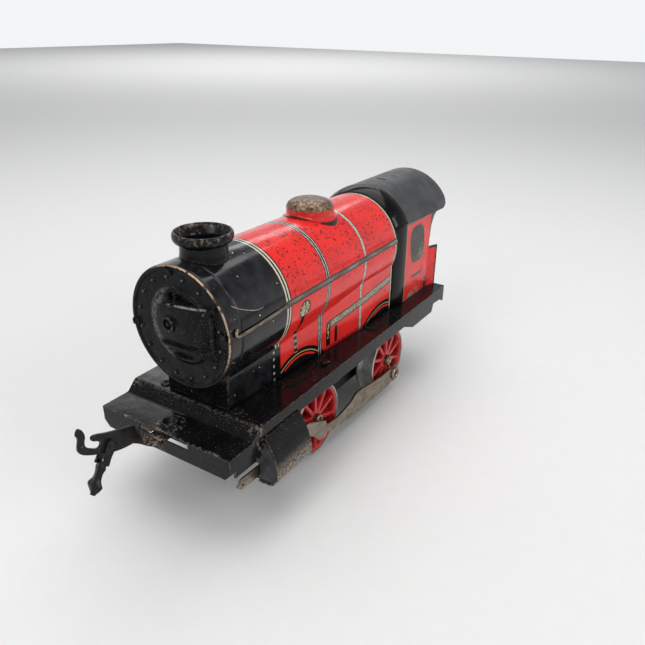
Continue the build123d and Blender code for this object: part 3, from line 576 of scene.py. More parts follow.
def wheel_material():
    """Dark cherry enamel, with painted shade from the ribs down to the web, darker in patches low down."""
    paint = Paint("wheel_red", coat=0.25, coat_roughness=0.08, specular=0.3)
    # painted shade: the red darkens from the raised ribs down to the web
    height = abs(paint.x).step(17.2, 20.4)
    tone = paint.mix(height, (0.13, 0.003, 0.005), (0.42, 0.011, 0.012))
    # darker in patches in the low parts
    patchy_recess_darkening = paint.noise(2.6, 4.0).step(0.5, 0.66) * height.step(0.75, 0.2)
    tone = paint.mix(patchy_recess_darkening, tone, (0.02, 0.008, 0.008))
    wear = paint.noise(0.9, 4.0).step(0.6, 0.7) * height.step(0.8, 1.0)
    tone = paint.mix(wear, tone, (0.36, 0.05, 0.045))
    return finish_enamel(paint, tone, wear * 0.3, base_rough=0.16, smear=0.25)


def metal_material(name, light, dark, stretch, rough=0.34, streak=0.45):
    """Bare metal with grain along its length, tarnish clouds and small dark pits."""
    paint = Paint(name)
    grain = paint.noise(0.6, 4.0, stretch=stretch)
    cloud = paint.noise(4.0, 5.0, distortion=0.4).step(0.36, 0.68)
    tone = paint.mix(cloud, light, dark)
    tone = paint.mix(grain.step(0.42, 0.64) * streak, tone, tuple(c * 0.5 for c in dark))
    spot = paint.cells(1.1).step(0.24, 0.12) * paint.noise(3.0).step(0.46, 0.6)
    tone = paint.mix(spot * 0.6, tone, (0.06, 0.04, 0.025))
    return paint.finish(tone, (grain + cloud) * 0.16 + (rough - 0.08), 1.0, grain - spot * 1.5, 0.03)


def coupling_material():
    """Blackened strip rubbed to bronze on its edges; on the crown of its twist the bronze is rubbed metal
    and a painted highlight.
    """

    def rubbed(paint):
        # where the strip twists: rubbed bronze and a painted highlight of the bend
        bend = abs(paint.y).band(77.5, 84.5, 1.5) * paint.noise(1.3, 5.0).step(0.46, 0.6)
        return bend * 0.8

    return black_enamel(
        "coupling_black", tint=(0.009, 0.008, 0.0075), edge=(0.26, 0.16, 0.10), edge_radius=0.4,
        extra_wear_and_highlights=rubbed
    )


def dome_material():
    """Pressed dome: red skirt, crown worn down to dull brass."""
    paint = Paint("dome_worn", coat=0.2, coat_roughness=0.06, specular=0.3)
    ragged = paint.noise(2.0, 5.0, distortion=0.7) * 3.0 + paint.z
    worn = ragged.step(87.9, 88.7)
    brass = paint.mix(paint.noise(1.2, 5.0).step(0.36, 0.6), (0.25, 0.17, 0.10), (0.085, 0.052, 0.034))
    red = paint.mix(paint.noise(3.0, 3.0).step(0.4, 0.7), (0.60, 0.018, 0.013), (0.40, 0.012, 0.010))
    tone = paint.mix(worn, red, brass)
    skirt = distance(paint.x, paint.y, (0.0, DOME_Y)).step(9.7, 9.95)
    tone = paint.mix(skirt, tone, (0.025, 0.012, 0.010))
    return finish_enamel(paint, tone, worn * 0.9, base_rough=0.12, smear=0.12)


# ---- Mesh helpers ----
def add_mesh(name, points, faces, material, body, smooth_angle=40.0, sheet=0.0, offset=-1.0):
    """Mesh object from millimetre points, smooth below an angle, riding on a body; sheet thickens it."""
    data = bpy.data.meshes.new(name)
    data.from_pydata([(x * MM, y * MM, z * MM) for x, y, z in points], [], faces)
    data.validate()
    data.materials.append(material)
    data.shade_smooth()
    data.set_sharp_from_angle(angle=radians(smooth_angle))
    piece = bpy.data.objects.new(name, data)
    bpy.context.scene.collection.objects.link(piece)
    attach(piece, body)
    if sheet:
        tin = piece.modifiers.new("tin", "SOLIDIFY")
        tin.thickness = sheet * MM
        tin.offset = offset
    return piece


def smoothed(points, rounds=2):
    """Chaikin corner cutting that keeps both ends."""
    for _ in range(rounds):
        cut = [points[0]]
        for a, b in zip(points, points[1:]):
            cut.append(tuple(0.75 * p + 0.25 * q for p, q in zip(a, b)))
            cut.append(tuple(0.25 * p + 0.75 * q for p, q in zip(a, b)))
        points = cut + [points[-1]]
    return points


def turned_faces(segments, rows):
    """Quads between the profiles of a turned piece, each stored from end to end."""
    faces = []
    for step in range(segments):
        here = step * rows
        there = ((step + 1) % segments) * rows
        for row in range(rows - 1):
            faces.append((here + row, there + row, there + row + 1, here + row + 1))
    return faces


def lathe(name, profile, place, material, body, segments=96, fit=None):
    """Solid of revolution: profile of (radius, height), place(r, angle, h) gives the point."""
    points = []
    for step in range(segments):
        angle = 2 * pi * step / segments
        for radius, height in profile:
            point = place(radius, angle, height)
            points.append(fit(point) if fit else point)
    return add_mesh(name, points, turned_faces(segments, len(profile)), material, body)


def upright(centre_x, centre_y):
    """Placement for a lathe about a vertical axis."""
    return lambda r, angle, h: (centre_x + r * cos(angle), centre_y + r * sin(angle), h)


def sideways(sign, centre, x=0.0):
    """Placement for a lathe about X through (y, z); heights run from x outwards on that side."""
    return lambda r, angle, h: (x + sign * h, centre[0] + r * cos(angle), centre[1] + sign * r * sin(angle))


def disc_points(radius, rings, spokes, place):
    """Points of a round sheet without its middle; place(r, angle) gives each of them."""
    return [
        place(radius * ring / rings, 2 * pi * spoke / spokes)
        for ring in range(1, rings + 1)
        for spoke in range(spokes)
    ]


def disc_faces(rings, spokes):
    """Faces of a round sheet whose first point is its middle."""
    faces = [(0, 1 + spoke, 1 + (spoke + 1) % spokes) for spoke in range(spokes)]
    faces += [(a + 1, d + 1, c + 1, b + 1) for a, b, c, d in grid_faces(rings, spokes, wrap=True)]
    return faces


def flipped(faces):
    """The same faces seen from the other side, with the same first corner."""
    return [(face[0], *reversed(face[1:])) for face in faces]


def grid_faces(rows, columns, wrap=False):
    """Quads over a grid of rows by columns, stored row by row."""
    faces = []
    for row in range(rows - 1):
        for column in range(columns if wrap else columns - 1):
            after = (column + 1) % columns
            here = row * columns
            there = here + columns
            faces.append((here + column, here + after, there + after, there + column))
    return faces


def smooth(value, low, high):
    """0 at low, 1 at high, smooth between."""
    t = min(max((value - low) / (high - low), 0.0), 1.0)
    return t * t * (3 - 2 * t)


def ridge(offset, half, soft):
    """1 within half of zero, falling to 0 over soft."""
    return 1.0 - smooth(abs(offset), half, half + soft)


def rail_piece(name, points, radius, material, body):
    """Round wire along points in millimetres."""
    data = bpy.data.curves.new(name, "CURVE")
    data.dimensions = "3D"
    data.bevel_depth = radius * MM
    data.bevel_resolution = 5
    data.use_fill_caps = True
    spline = data.splines.new("NURBS")
    spline.points.add(len(points) - 1)
    for point, place in zip(spline.points, points):
        point.co = (*(c * MM for c in place), 1)
    spline.order_u = 3
    spline.use_endpoint_u = True
    data.materials.append(material)
    piece = bpy.data.objects.new(name, data)
    bpy.context.scene.collection.objects.link(piece)
    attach(piece, body)
    return piece


# ---- Boiler wrapper ----
def half_width(y):
    """Half width of the skirt walls."""
    share = min(max((y - SADDLE_Y) / (WAIST_Y - SADDLE_Y), 0.0), 1.0)
    return SADDLE_HALF + (WAIST_HALF - SADDLE_HALF) * share


def dent(y, angle):
    """Gentle unevenness of handled tinplate, in millimetres."""
    slow = wave(Vector((y * 0.045, angle * 1.1, 3.7)))
    quick = wave(Vector((y * 0.16, angle * 3.1, 9.2)))
    return 0.10 * slow + 0.03 * quick


def boiler_section(y):
    """Cross-section from the left foot over the top to the right foot."""
    half = half_width(y)
    pinch = atan2(-sqrt(BOILER_R**2 - half**2), half)
    points = []
    wall_steps = 10
    arc_steps = 110
    pinch_z = AXIS_Z + BOILER_R * sin(pinch)

    def wall(side, seed):
        for step in range(wall_steps):
            z = DECK_Z + (pinch_z - DECK_Z) * step / wall_steps
            bow = 0.10 * wave(Vector((y * 0.05, z * 0.08, seed)))
            yield (side * (half + bow - 0.05), y, z)

    for step in range(arc_steps + 1):
        angle = pinch + (pi - 2 * pinch) * step / arc_steps
        r = BOILER_R + dent(y, angle) - 0.06
        points.append((r * cos(angle), y, AXIS_Z + r * sin(angle)))
    return [*wall(1, 1.3), *points, *reversed(list(wall(-1, 7.9)))]


def add_boiler(material):
    """Wrapper from the saddle to the cab, and the plain round nose in front of it."""
    stations = 120
    rows = []
    for step in range(stations + 1):
        rows += boiler_section(SADDLE_Y + (BOILER_REAR - SADDLE_Y) * step / stations)
    columns = len(rows) // (stations + 1)
    wrapper = add_mesh(
        "boiler_wrapper", rows, grid_faces(stations + 1, columns), material, "chassis", 50, sheet=0.4,
        offset=1.0
    )
    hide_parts("boiler_shell")
    points = []
    ring = 144
    nose_steps = 8
    for step in range(nose_steps + 1):
        y = NOSE_Y + (SADDLE_Y + 0.02 - NOSE_Y) * step / nose_steps
        for turn in range(ring):
            angle = 2 * pi * turn / ring
            r = BOILER_R + dent(y, angle if angle < pi else angle - 2 * pi)
            points.append((r * cos(angle), y, AXIS_Z + r * sin(angle)))
    nose = add_mesh(
        "smokebox_nose", points, grid_faces(nose_steps + 1, ring, wrap=True), material, "chassis",
        sheet=0.4, offset=1.0
    )


# ---- Cab: bead in front, bulkhead and roof ----
def cab_section(y, radius, half):
    """Cab cross-section from the left foot over the top to the right foot."""
    spring = asin(sqrt(radius**2 - half**2) / radius)
    wall_steps = 12
    arc_steps = 100
    spring_z = AXIS_Z + radius * sin(spring)
    points = [(half, y, DECK_Z + (spring_z - DECK_Z) * step / wall_steps) for step in range(wall_steps)]
    for step in range(arc_steps + 1):
        angle = spring + (pi - 2 * spring) * step / arc_steps
        points.append((radius * cos(angle), y, AXIS_Z + radius * sin(angle)))
    points += [(-half, y, z) for _, _, z in reversed(points[:wall_steps])]
    return points


def add_cab_bead(material, bulkhead_material):
    """Rolled bead that swells from the wrapper to the roof, with the wall behind it."""
    rows = 26
    start = (BOILER_R, WAIST_HALF + 0.05)
    end = (ROOF_R + 0.12, CAB_HALF + 0.12)
    points = []
    for row in range(rows):
        share = row / (rows - 1)
        swell = sin(pi / 2 * min(share * 1.12, 1.0)) ** 0.75
        y = BOILER_REAR - 0.3 + (RING_REAR + 0.2 - BOILER_REAR) * share
        radius, half = (a + (b - a) * swell for a, b in zip(start, end))
        points += cab_section(y, radius, half)
    bead = add_mesh(
        "cab_bead", points, grid_faces(rows, len(points) // rows), material, "chassis", 60, sheet=0.4,
        offset=1.0
    )
    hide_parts("cab_front")

    inset = 0.9
    outline = cab_section(RING_REAR - inset, ROOF_R - inset, CAB_HALF - inset)
    doorway = [(-15.0, 37.6), (-15.0, 46.0), (15.0, 46.0), (15.0, 37.6)]
    outline += [(x, RING_REAR - inset, z) for x, z in doorway]
    wall = add_mesh(
        "cab_bulkhead", outline, [tuple(range(len(outline)))], bulkhead_material, "chassis", sheet=0.4
    )


def add_roof(material):
    """Arched roof with clipped rear corners and a slot near the front."""
    rows = 104
    columns = 121
    y_front = RING_REAR - 0.2
    y_rear = 88.0
    clip_length = 6.0
    clip_rise = 5.0
    eave_z = 73.0
    points = []
    for row in range(rows):
        y = y_front + (y_rear - y_front) * row / (rows - 1)
        clip = min(max((y - (y_rear - clip_length)) / clip_length, 0.0), 1.0)
        corner = clip_rise * (1 - sqrt(1 - clip * clip))
        eave = asin((eave_z - 0.03 * (y - y_front) + corner - AXIS_Z) / ROOF_R)
        for column in range(columns):
            angle = eave + (pi - 2 * eave) * column / (columns - 1)
            r = ROOF_R - 0.04 + 0.6 * dent(y, angle)
            points.append((r * cos(angle), y, AXIS_Z + r * sin(angle)))
    slot_y = 59.9
    faces = []
    for face in grid_faces(rows, columns):
        x, y = (sum(points[corner][axis] for corner in face) / 4 for axis in range(2))
        if abs(x) > 2.0 or abs(y - slot_y) > 0.8:
            faces.append(face)
    roof = add_mesh("roof_sheet", points, faces, material, "chassis", 60, sheet=0.5, offset=1.0)
    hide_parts("cab_roof")


# ---- Smokebox front: one pressing with a domed door, straps, hinge, dart and rivets ----
def front_relief(x, z):
    """Height of the pressing, towards the front."""
    r = hypot(x, z)
    door_r = hypot(x - DOOR[0], z - DOOR[1])
    height = 0.15 + 0.45 * ridge(r - 18.9, 0.3, 0.5)
    inside = 1.0 - smooth(door_r, 11.6, 13.0)
    height += inside * (0.30 + 1.5 * (1 - min(door_r / 13.0, 1.0) ** 2))
    core = 1.0 - smooth(door_r, 9.9, 10.9)
    for depth in (smooth(z, 8.6, 10.2), smooth(-z, 7.3, 8.8)):
        height -= 1.3 * core * depth
    for level, start, slope in ((8.3, -3.0, STRAP_SLOPE), (-5.6, -7.0, 0.03)):
        along = smooth(x, start, start + 0.6) * (1 - smooth(x, 14.4, 14.9))
        height += 1.1 * along * ridge(z - level - slope * x, 0.45, 0.4)
        height += 0.8 * ridge(hypot(x - HINGE_X, z - level - 0.6), 1.2, 0.4)
    hinge = ridge(x - HINGE_X, 0.45, 0.4) * smooth(z, -7.4, -6.8) * (1 - smooth(z, 9.6, 10.2))
    height += 1.35 * hinge
    knob_r = hypot(x - KNOB[0], z - KNOB[1])
    height += 1.1 * ridge(knob_r - 2.0, 0.35, 0.35) + 1.0 * (1 - smooth(knob_r, 0.6, 1.1))
    for bar in (-2.2, 0.5):
        height += 1.7 * ridge(x - bar, 0.3, 0.35) * smooth(z, 8.0, 8.6) * (1 - smooth(z, 11.6, 12.2))
    for rivet in range(RIVETS):
        angle = 2 * pi * (rivet + 0.5) / RIVETS
        away = hypot(x - RIVET_R * cos(angle), z - RIVET_R * sin(angle))
        height += 0.75 * sqrt(max(0.0, 1 - (away / 0.72) ** 2))
    for tab in range(4):
        angle = pi / 2 * tab + 0.11
        along = x * cos(angle) + z * sin(angle)
        aside = -x * sin(angle) + z * cos(angle)
        height += 0.85 * ridge(aside, 0.9, 0.3) * smooth(along, 16.6, 17.0)
    return height + 0.06 * wave(Vector((x * 0.3, z * 0.3, 5.0)))


def add_smokebox_front(material, rim_material):
    """Pressed disc with its relief, and the rolled lip around it."""
    rings = 150
    spokes = 320

    def place(r, angle):
        x = r * cos(angle)
        z = r * sin(angle)
        return (x, NOSE_Y - 0.3 - front_relief(x, z), AXIS_Z + z)

    points = [(0, place(0, 0)[1], AXIS_Z)] + disc_points(19.25, rings, spokes, place)
    faces = flipped(disc_faces(rings, spokes))
    disc = add_mesh("smokebox_pressing", points, faces, material, "chassis", 60, sheet=0.35, offset=1.0)
    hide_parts("smokebox_front", "smokebox_hinge", "smokebox_handle")

    profile = smoothed([(19.2, 0.1), (19.25, 0.75), (19.6, 0.9), (19.93, 0.5), (19.9, -0.5)])

    def forward(r, angle, h):
        return (r * cos(angle), NOSE_Y - h, AXIS_Z + r * sin(angle))

    lip = lathe("smokebox_rim", profile, forward, rim_material, "chassis", 160)


# ---- Chimney and dome ----
def on_boiler(point, lift=0.0):
    """Raises a point that would sit inside the boiler to its surface."""
    x, y, z = point
    surface = AXIS_Z + sqrt(max((BOILER_R + lift) ** 2 - x * x, 0.0))
    return (x, y, max(z, surface))


def add_chimney(material):
    """Turned chimney with a rolled lip and an open bore, its foot fitted to the boiler."""
    outer = [(7.75, 82.5), (7.6, 84.3), (7.35, 85.6), (7.25, 88.2)]
    rim = [(7.5, 88.5), (8.6, 88.9), (9.2, 89.7), (9.35, 90.8), (9.15, 91.7), (8.75, 92.15), (8.3, 92.0)]
    inner = [(8.1, 91.2), (7.4, 90.0), (6.65, 89.0), (6.5, 86.0), (6.5, 82.5)]
    profile = smoothed(outer + rim) + smoothed(inner)
    chimney = lathe(
        "chimney_pressing", profile, upright(0, CHIMNEY_Y), material, "chassis", 128,
        lambda point: on_boiler(point, 0.02)
    )
    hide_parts("chimney")


def add_dome(material):
    """Round cap on a flange that follows the boiler and comes to soft points fore and aft."""
    crown = [(0.0, 90.2), (4.8, 90.05), (7.8, 88.9)]
    wall = [(8.75, 87.3), (8.8, 85.6), (8.85, 84.0), (9.0, 83.2)]
    cap = smoothed(crown + wall)
    flange = [(9.3, 0.75), (9.8, 0.5), (10.3, 0.42), (10.35, 0.05)]
    segments = 128
    points = []
    for step in range(segments):
        angle = 2 * pi * step / segments
        for r, z in cap:
            points.append(on_boiler((r * cos(angle), DOME_Y + r * sin(angle), z), 0.8))
        for r, lift in flange:
            reach = r * (1 + 0.07 * cos(4 * angle) * smooth(r, 9.0, 10.2))
            x = reach * cos(angle)
            z = AXIS_Z + sqrt((BOILER_R + lift) ** 2 - x * x)
            points.append((x, DOME_Y + reach * sin(angle), z))
    faces = flipped(turned_faces(segments, len(cap) + len(flange)))
    dome = add_mesh("dome_pressing", points, faces, material, "chassis", 50)
    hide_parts("dome")


# ---- Wheels: pressed spokes, and eyelets on hubs and crankpins ----
def wheel_relief(r, angle, crank_angle):
    """Outward height of the wheel pressing above its web."""
    height = 3.0 * (1 - smooth(r, 3.2, 4.6)) + 3.6 * smooth(r, 11.2, 12.3)
    turn = (angle * SPOKES / (2 * pi)) % 1.0 - 0.5
    aside = turn * 2 * pi / SPOKES * r
    spoke = ridge(aside, 0.42 + 0.03 * (12 - r), 0.8)
    height = max(height, 3.0 * spoke * smooth(r, 1.0, 3.0))
    if crank_angle is not None:
        y = r * cos(angle) - CRANK_R * cos(crank_angle)
        z = r * sin(angle) - CRANK_R * sin(crank_angle)
        height = max(height, 3.1 * (1 - smooth(hypot(y, z), 2.3, 3.4)))
    return height


def add_wheel(end, label, sign, centre, material, tyre_material, eyelet_material):
    """Pressed spoked centre, turned tyre and hub eyelet of one wheel."""
    crank_angle = CRANK_ANGLE if end == "rear" else None
    rings = 44
    steps = 240

    def place(r, angle):
        x = WEB_X + wheel_relief(r, angle, crank_angle)
        return (sign * x, centre[0] + r * cos(angle), centre[1] + r * sin(angle))

    points = [(sign * (WEB_X + 2.6), *centre)] + disc_points(WHEEL_R, rings, steps, place)
    faces = disc_faces(rings, steps)
    if sign < 0:
        faces = [tuple(reversed(face)) for face in faces]
    body = f"{end}_wheelset"
    wheel = add_mesh(f"wheel_{end}_{label}_pressing", points, faces, material, body, 70, sheet=0.7)
    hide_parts(f"wheel_{end}_{label}")
    tread = [
        (12.9, 14.0), (15.2, 13.95), (15.5, 14.35), (15.45, 15.0), (14.5, 15.9), (14.15, 16.7),
        (14.1, 20.7), (14.0, 21.1), (13.7, 21.25), (13.25, 21.2), (13.2, 20.8), (12.9, 20.6),
        (12.9, 14.0),
    ]
    tyre = lathe(f"tyre_{end}_{label}_turned", tread, sideways(sign, centre), tyre_material, body, 128)
    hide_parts(f"tyre_{end}_{label}")
    crown = [(2.3, 20.3), (2.2, 21.4), (1.9, 22.1), (1.4, 22.2), (1.1, 21.8), (1.0, 21.2), (0.0, 21.2)]
    eyelet = lathe(
        f"hub_eyelet_{end}_{label}", smoothed(crown), sideways(sign, centre), eyelet_material, body, 48
    )


def add_crank_eyelets(material, core_material):
    """Large rolled eyelets that hold the rods on the crankpins."""
    crown = [(2.7, 23.25), (2.9, 23.7), (2.6, 24.3), (2.0, 24.4), (1.5, 24.0), (1.3, 23.3), (1.25, 22.6)]
    for label, sign in SIDES:
        profile = smoothed(crown)
        eyelet = lathe(
            f"crank_eyelet_{label}", profile, sideways(sign, CRANK), material, "rear_wheelset", 64
        )
        stub = smoothed([(0.0, 23.5), (1.0, 23.45), (1.15, 23.2), (1.15, 16.5)], 1)
        core = lathe(
            f"crankpin_{label}", stub, sideways(sign, CRANK), core_material, "rear_wheelset", 40
        )
        if sign > 0:
            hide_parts("crankpins")


# ---- Small fittings: handrails, smokebox line, coupling and deck eyelets, deck tabs ----
def add_handrails(material):
    """Raised wire along the smokebox with a curled front end, on both sides."""
    route = [
        (19.9, -62.2, 68.3), (20.3, -63.2, 68.1), (20.4, -63.5, 67.0), (20.4, -62.4, 66.2),
        (20.35, -59.5, 66.2), (20.25, -48.0, 66.6), (20.1, -40.0, 66.9), (19.8, -37.0, 67.0),
    ]
    for label, sign in SIDES:
        points = [(sign * x, y, z) for x, y, z in route]
        wire = rail_piece(f"handrail_{label}", points, 0.5, material, "chassis")


def add_smokebox_line(material):
    """Hair-thin curved wire on each side of the smokebox."""
    route = [(-61.4, 74.9), (-60.2, 74.0), (-57.6, 72.6), (-54.0, 71.2), (-51.0, 70.4), (-49.1, 70.6)]
    for label, sign in SIDES:
        points = [(sign * (sqrt(BOILER_R**2 - (z - AXIS_Z) ** 2) + 0.05), y, z) for y, z in route]
        line = rail_piece(f"smokebox_line_{label}", points, 0.13, material, "chassis")


def add_coupling_eyelets(material):
    """Rolled eyelets that the couplings turn on."""
    crown = [(0.0, 0.15), (0.9, 0.2), (1.4, 0.5), (2.0, 1.2), (2.7, 1.25), (3.2, 0.7), (3.3, 0.02)]
    shank = [(3.2, -0.1), (1.45, -0.2), (1.4, -2.9), (0.0, -3.0)]
    for name, pivot, deck in (("front", FRONT_PIVOT, LOW_Z), ("rear", REAR_PIVOT, DECK_Z)):
        profile = [(r, deck + lift) for r, lift in smoothed(crown) + shank]
        eyelet = lathe(f"{name}_eyelet", profile, upright(*pivot), material, "chassis", 64)
        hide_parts(f"{name}_coupling_rivet")


def add_tab(name, x, y, turn, material):
    """Bent-over fixing tab: a thin plate with a rounded hump and a rolled end."""
    length = 3.6
    width = 2.0
    rows = 14
    columns = 7
    points = []
    for row in range(rows):
        s = row / (rows - 1)
        along = length * (s - 0.5)
        lift = 0.25 + 0.55 * exp(-((s - 0.25) / 0.2) ** 2)
        for column in range(columns):
            aside = width * (column / (columns - 1) - 0.5)
            crown = 0.08 * (1 - (2 * column / (columns - 1) - 1) ** 2)
            px = x + along * cos(turn) - aside * sin(turn)
            py = y + along * sin(turn) + aside * cos(turn)
            points.append((px, py, DECK_Z + lift + crown))
    tab = add_mesh(name, points, grid_faces(rows, columns), material, "chassis", 60, sheet=0.4)


def add_deck_tabs(material):
    """Rolled eyelets of the saddle and clenched tabs behind it, on top of the footplate."""
    section = smoothed([(0.0, 0.04), (0.6, 0.1), (1.0, 0.5), (1.6, 0.6), (2.0, 0.3), (2.1, -0.1)])
    for label, x in (("left", 15.4), ("right", -15.4)):
        profile = [(r, DECK_Z + lift) for r, lift in section]
        ring = lathe(f"deck_eyelet_{label}", profile, upright(x, -59.2), material, "chassis", 48)
    for label, x, turn in (("left", 21.6, 80), ("right", -21.6, 100)):
        add_tab(f"deck_tab_{label}", x, -18.0, radians(turn), material)


# ---- Couplings: a strip twisted upright into a rounded hook ----
HOOK_EDGE = [
    (-88.0, 42.2), (-94.7, 43.9), (-100.5, 46.4), (-101.2, 44.6), (-98.6, 43.4), (-98.1, 42.0),
    (-99.2, 41.0), (-102.5, 43.2), (-103.5, 45.1), (-102.4, 47.6), (-103.9, 50.9), (-105.5, 48.9),
    (-104.6, 47.4), (-105.7, 44.2), (-104.6, 42.0), (-98.0, 38.6), (-95.3, 37.4), (-91.2, 36.3),
    (-88.0, 36.0),
]


def add_hooks(material):
    """Strip that twists upright, and the flat hook it ends in, at both ends."""
    for name, end, deck in (("front", 1, LOW_Z), ("rear", -1, DECK_Z)):
        middle = -end * 1.0
        low = deck - 1.8
        high = 39.1
        y_start = -69.7
        y_end = -89.3
        rows = 48
        columns = 9
        points = []
        for row in range(rows):
            y = y_start + (y_end - y_start) * row / (rows - 1)
            share = smooth(-y, 79.0, 88.6)
            turn = radians(90) * share
            for column in range(columns):
                aside = (2 * column / (columns - 1) - 1) * (3.05 - 0.15 * share)
                z = low + (high - low) * share - end * aside * sin(turn)
                points.append((middle + aside * cos(turn), end * y, z))
        strip = add_mesh(
            f"{name}_coupling_strip", points, grid_faces(rows, columns), material, f"{name}_hook", 60,
            sheet=0.9, offset=0
        )
        outline = smoothed(HOOK_EDGE)
        count = len(outline)
        points = [(middle + side * 0.55, end * y, z) for side in (-1, 1) for y, z in outline]
        faces = [tuple(range(count)), tuple(reversed(range(count, 2 * count)))]
        for k in range(count):
            after = (k + 1) % count
            faces.append((k + count, after + count, after, k))
        plate = add_mesh(f"{name}_coupling_hook", points, faces, material, f"{name}_hook")
        round_over = plate.modifiers.new("round", "BEVEL")
        round_over.width = 0.22 * MM
        round_over.segments = 2
        round_over.limit_method = "ANGLE"
        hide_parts(f"{name}_coupling")


# ---- Drop links: folded strip with a ridge down the middle and lobed edges ----
def link_half(drop):
    """Half width of the link at a distance below its pin."""
    lobes = 0.45 * exp(-((drop - 7.2) / 0.9) ** 2) + 1.35 * exp(-((drop - 12.4) / 1.3) ** 2)
    taper = 1 - smooth(drop, 13.4, 15.3)
    return (1.45 + lobes) * (0.5 + 0.5 * taper)


def add_drop_links(material):
    """Folded strip, the two legs of its fork and their pin heads, at both ends."""
    for name, end in (("front", 1), ("rear", -1)):
        pin = Vector((-end * 1.0, -end * 95.6, 40.7))
        down = Vector((0, -end * LINK_DOWN[0], -LINK_DOWN[1])).normalized()
        out = Vector((0, -end * LINK_DOWN[1], LINK_DOWN[0])).normalized()
        across = Vector((1, 0, 0))
        strip_top = 5.2
        strip_end = 15.1
        rows = 40
        columns = 17
        points = []
        for row in range(rows):
            drop = strip_top + (strip_end - strip_top) * row / (rows - 1)
            for column in range(columns):
                share = 2 * column / (columns - 1) - 1
                fold = 0.75 * (1 - abs(share)) ** 0.8 - 0.25
                curl = 0.35 * smooth(drop, 12.5, 15.0)
                place = pin + down * drop + across * (share * link_half(drop)) + out * (fold - curl)
                points.append(tuple(place))
        strip = add_mesh(
            f"{name}_link_strip", points, grid_faces(rows, columns), material, f"{name}_link", 30,
            sheet=0.6, offset=0
        )
        for label, side in (("a", -1), ("b", 1)):
            points = []
            rows = 18
            columns = 7
            for row in range(rows):
                drop = -1.4 + 7.6 * row / (rows - 1)
                round_end = sqrt(max(0.0, 1 - (min(drop, 0.0) / 1.45) ** 2))
                girth = 1.55 * round_end * (1 - 0.25 * smooth(drop, 1.5, 5.0))
                spread = side * (1.3 + 0.25 * smooth(drop, 3.0, 5.5))
                for column in range(columns):
                    share = 2 * column / (columns - 1) - 1
                    points.append(tuple(pin + down * drop + out * (share * girth) + across * spread))
            leg = add_mesh(
                f"{name}_link_leg_{label}", points, grid_faces(rows, columns), material, f"{name}_link",
                30, sheet=0.6, offset=0
            )
            if side < 0:
                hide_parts(f"{name}_drop_link")
            head = smoothed([(0.0, 2.15), (0.9, 2.1), (1.15, 1.8), (1.1, 1.2)])
            place = sideways(side, (pin.y, pin.z), pin.x)
            boss = lathe(f"{name}_link_pin_{label}", head, place, material, f"{name}_link", 32)


# ---- CAD pieces that keep their shape: softened edges and a finish ----
def dress(names, material, soften=0.0):
    """Gives CAD nodes a material and, where asked, rounded edges."""
    for name in names:
        node = NODES[name]
        node.data.materials.clear()
        node.data.materials.append(material)
        if soften:
            bevel = node.modifiers.new("soft_edges", "BEVEL")
            bevel.width = soften * MM
            bevel.segments = 2
            bevel.limit_method = "ANGLE"
            bevel.angle_limit = radians(35)
            bevel.harden_normals = True


def rim_copper_highlight(paint):
    """Painted copper highlight on the front of the smokebox's lip, at its upper left, laid on as bare
    metal.
    """
    corner = (paint.z + paint.x).step(AXIS_Z + 6, AXIS_Z + 16)
    return corner * paint.y.step(-65.35, -65.6) * paint.noise(1.3, 4.0).step(0.34, 0.5)


def rubbed_chimney(paint):
    """Bare patches along the chimney's lip."""
    high = (paint.noise(2.0, 4.0) * 3.0 + paint.z).step(90.6, 93.2)
    return high * paint.noise(1.4, 6.0).step(0.48, 0.72) * 0.45


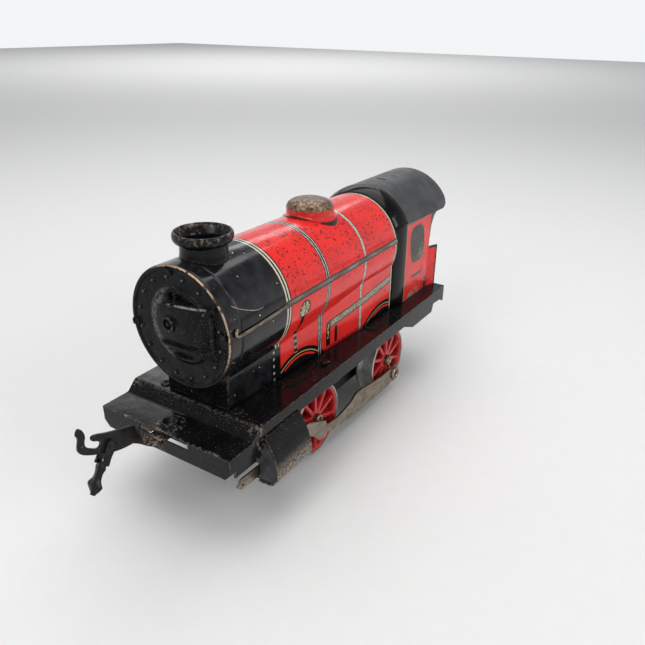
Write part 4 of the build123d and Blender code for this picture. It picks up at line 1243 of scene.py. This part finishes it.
def main():
    add_camera()
    add_studio()
    black = black_enamel("smokebox_black", chip_size=2.6)
    rim = black_enamel(
        "rim_copper", tint=(0.020, 0.013, 0.010), edge=(0.46, 0.30, 0.20), extra_wear_and_highlights=rim_copper_highlight
    )
    deck = deck_material()
    cylinder = cylinder_material()
    coupling = coupling_material()
    wheel = wheel_material()
    steel = metal_material("frame_steel", (0.42, 0.42, 0.41), (0.27, 0.26, 0.25), (0.6, 0.6, 2.0))
    tyre = metal_material(
        "tyre_plate", (0.50, 0.50, 0.485), (0.34, 0.34, 0.325), (3.0, 0.7, 0.7), rough=0.42
    )
    rod = metal_material(
        "rod_steel", (0.40, 0.345, 0.265), (0.29, 0.24, 0.18), (1.6, 0.09, 1.6), rough=0.36,
        streak=0.85
    )
    bronze = metal_material(
        "eyelet_bronze", (0.42, 0.33, 0.24), (0.16, 0.12, 0.085), (1.0, 1.0, 1.0), rough=0.28
    )
    brass = metal_material(
        "gear_brass", (0.62, 0.45, 0.20), (0.42, 0.29, 0.12), (1.5, 0.8, 0.8), rough=0.30
    )
    spring = metal_material(
        "spring_steel", (0.14, 0.17, 0.26), (0.08, 0.08, 0.11), (0.4, 2.0, 2.0), rough=0.26
    )

    add_boiler(boiler_material())
    add_smokebox_front(front_material(), rim)
    bead = black_enamel("cab_bead_black", edge=(0.16, 0.10, 0.07), gloss=0.08)
    inside = metal_material(
        "cab_inside", (0.16, 0.13, 0.10), (0.08, 0.06, 0.045), (1.0, 1.0, 0.4), rough=0.45
    )
    add_cab_bead(bead, inside)
    add_roof(roof_material())
    add_chimney(
        black_enamel("chimney_black", edge=(0.26, 0.19, 0.155), extra_wear_and_highlights=rubbed_chimney, gloss=0.09)
    )
    add_dome(dome_material())
    for end, centre in (("front", FRONT_AXLE), ("rear", REAR_AXLE)):
        for label, sign in SIDES:
            add_wheel(end, label, sign, centre, wheel, tyre, bronze)
    add_crank_eyelets(bronze, steel)
    rail = metal_material(
        "rail_bronze", (0.30, 0.24, 0.19), (0.13, 0.10, 0.08), (1.0, 0.3, 1.0), rough=0.30
    )
    add_handrails(rail)
    add_smokebox_line(
        metal_material("line_silver", (0.55, 0.53, 0.49), (0.30, 0.28, 0.25), (1.0, 0.3, 1.0))
    )
    eyelet_black = black_enamel("eyelet_black", edge=(0.33, 0.21, 0.13), edge_radius=0.9)
    add_coupling_eyelets(eyelet_black)
    add_deck_tabs(eyelet_black)
    add_hooks(coupling)
    add_drop_links(coupling)

    dress(["footplate"], deck, 0.22)
    dress(["saddle_front"], black, 0.1)
    dress(["cab_side_left", "cab_side_right"], cab_side_material(), 0.1)
    dress(["cylinder_cover_left", "cylinder_cover_right"], cylinder, 0.15)
    front_grey = black_enamel("cylinder_front_grey", tint=(0.035, 0.035, 0.038))
    dress(["cylinder_front_left", "cylinder_front_right"], front_grey, 0.1)
    dress(
        ["connecting_rod_left", "connecting_rod_right", "piston_strip_left", "piston_strip_right"], rod,
        0.12
    )
    soot = metal_material(
        "frame_sooty", (0.085, 0.08, 0.075), (0.03, 0.028, 0.026), (0.6, 0.6, 2.0), rough=0.30
    )
    dress(["frame_plate_left", "frame_plate_right", "frame_pillars"], soot, 0.1)
    steel_parts = ["front_axle", "rear_axle", "frame_rivets", "winding_arbor", "ratchet_wheel", "click"]
    steel_parts += ["click_stud", "centre_pinion", "centre_staff", "axle_pinion", "brake_lever"]
    dress(steel_parts, steel, 0.1)
    dress(["great_wheel", "centre_wheel"], brass)
    dress(["mainspring"], spring)


main()
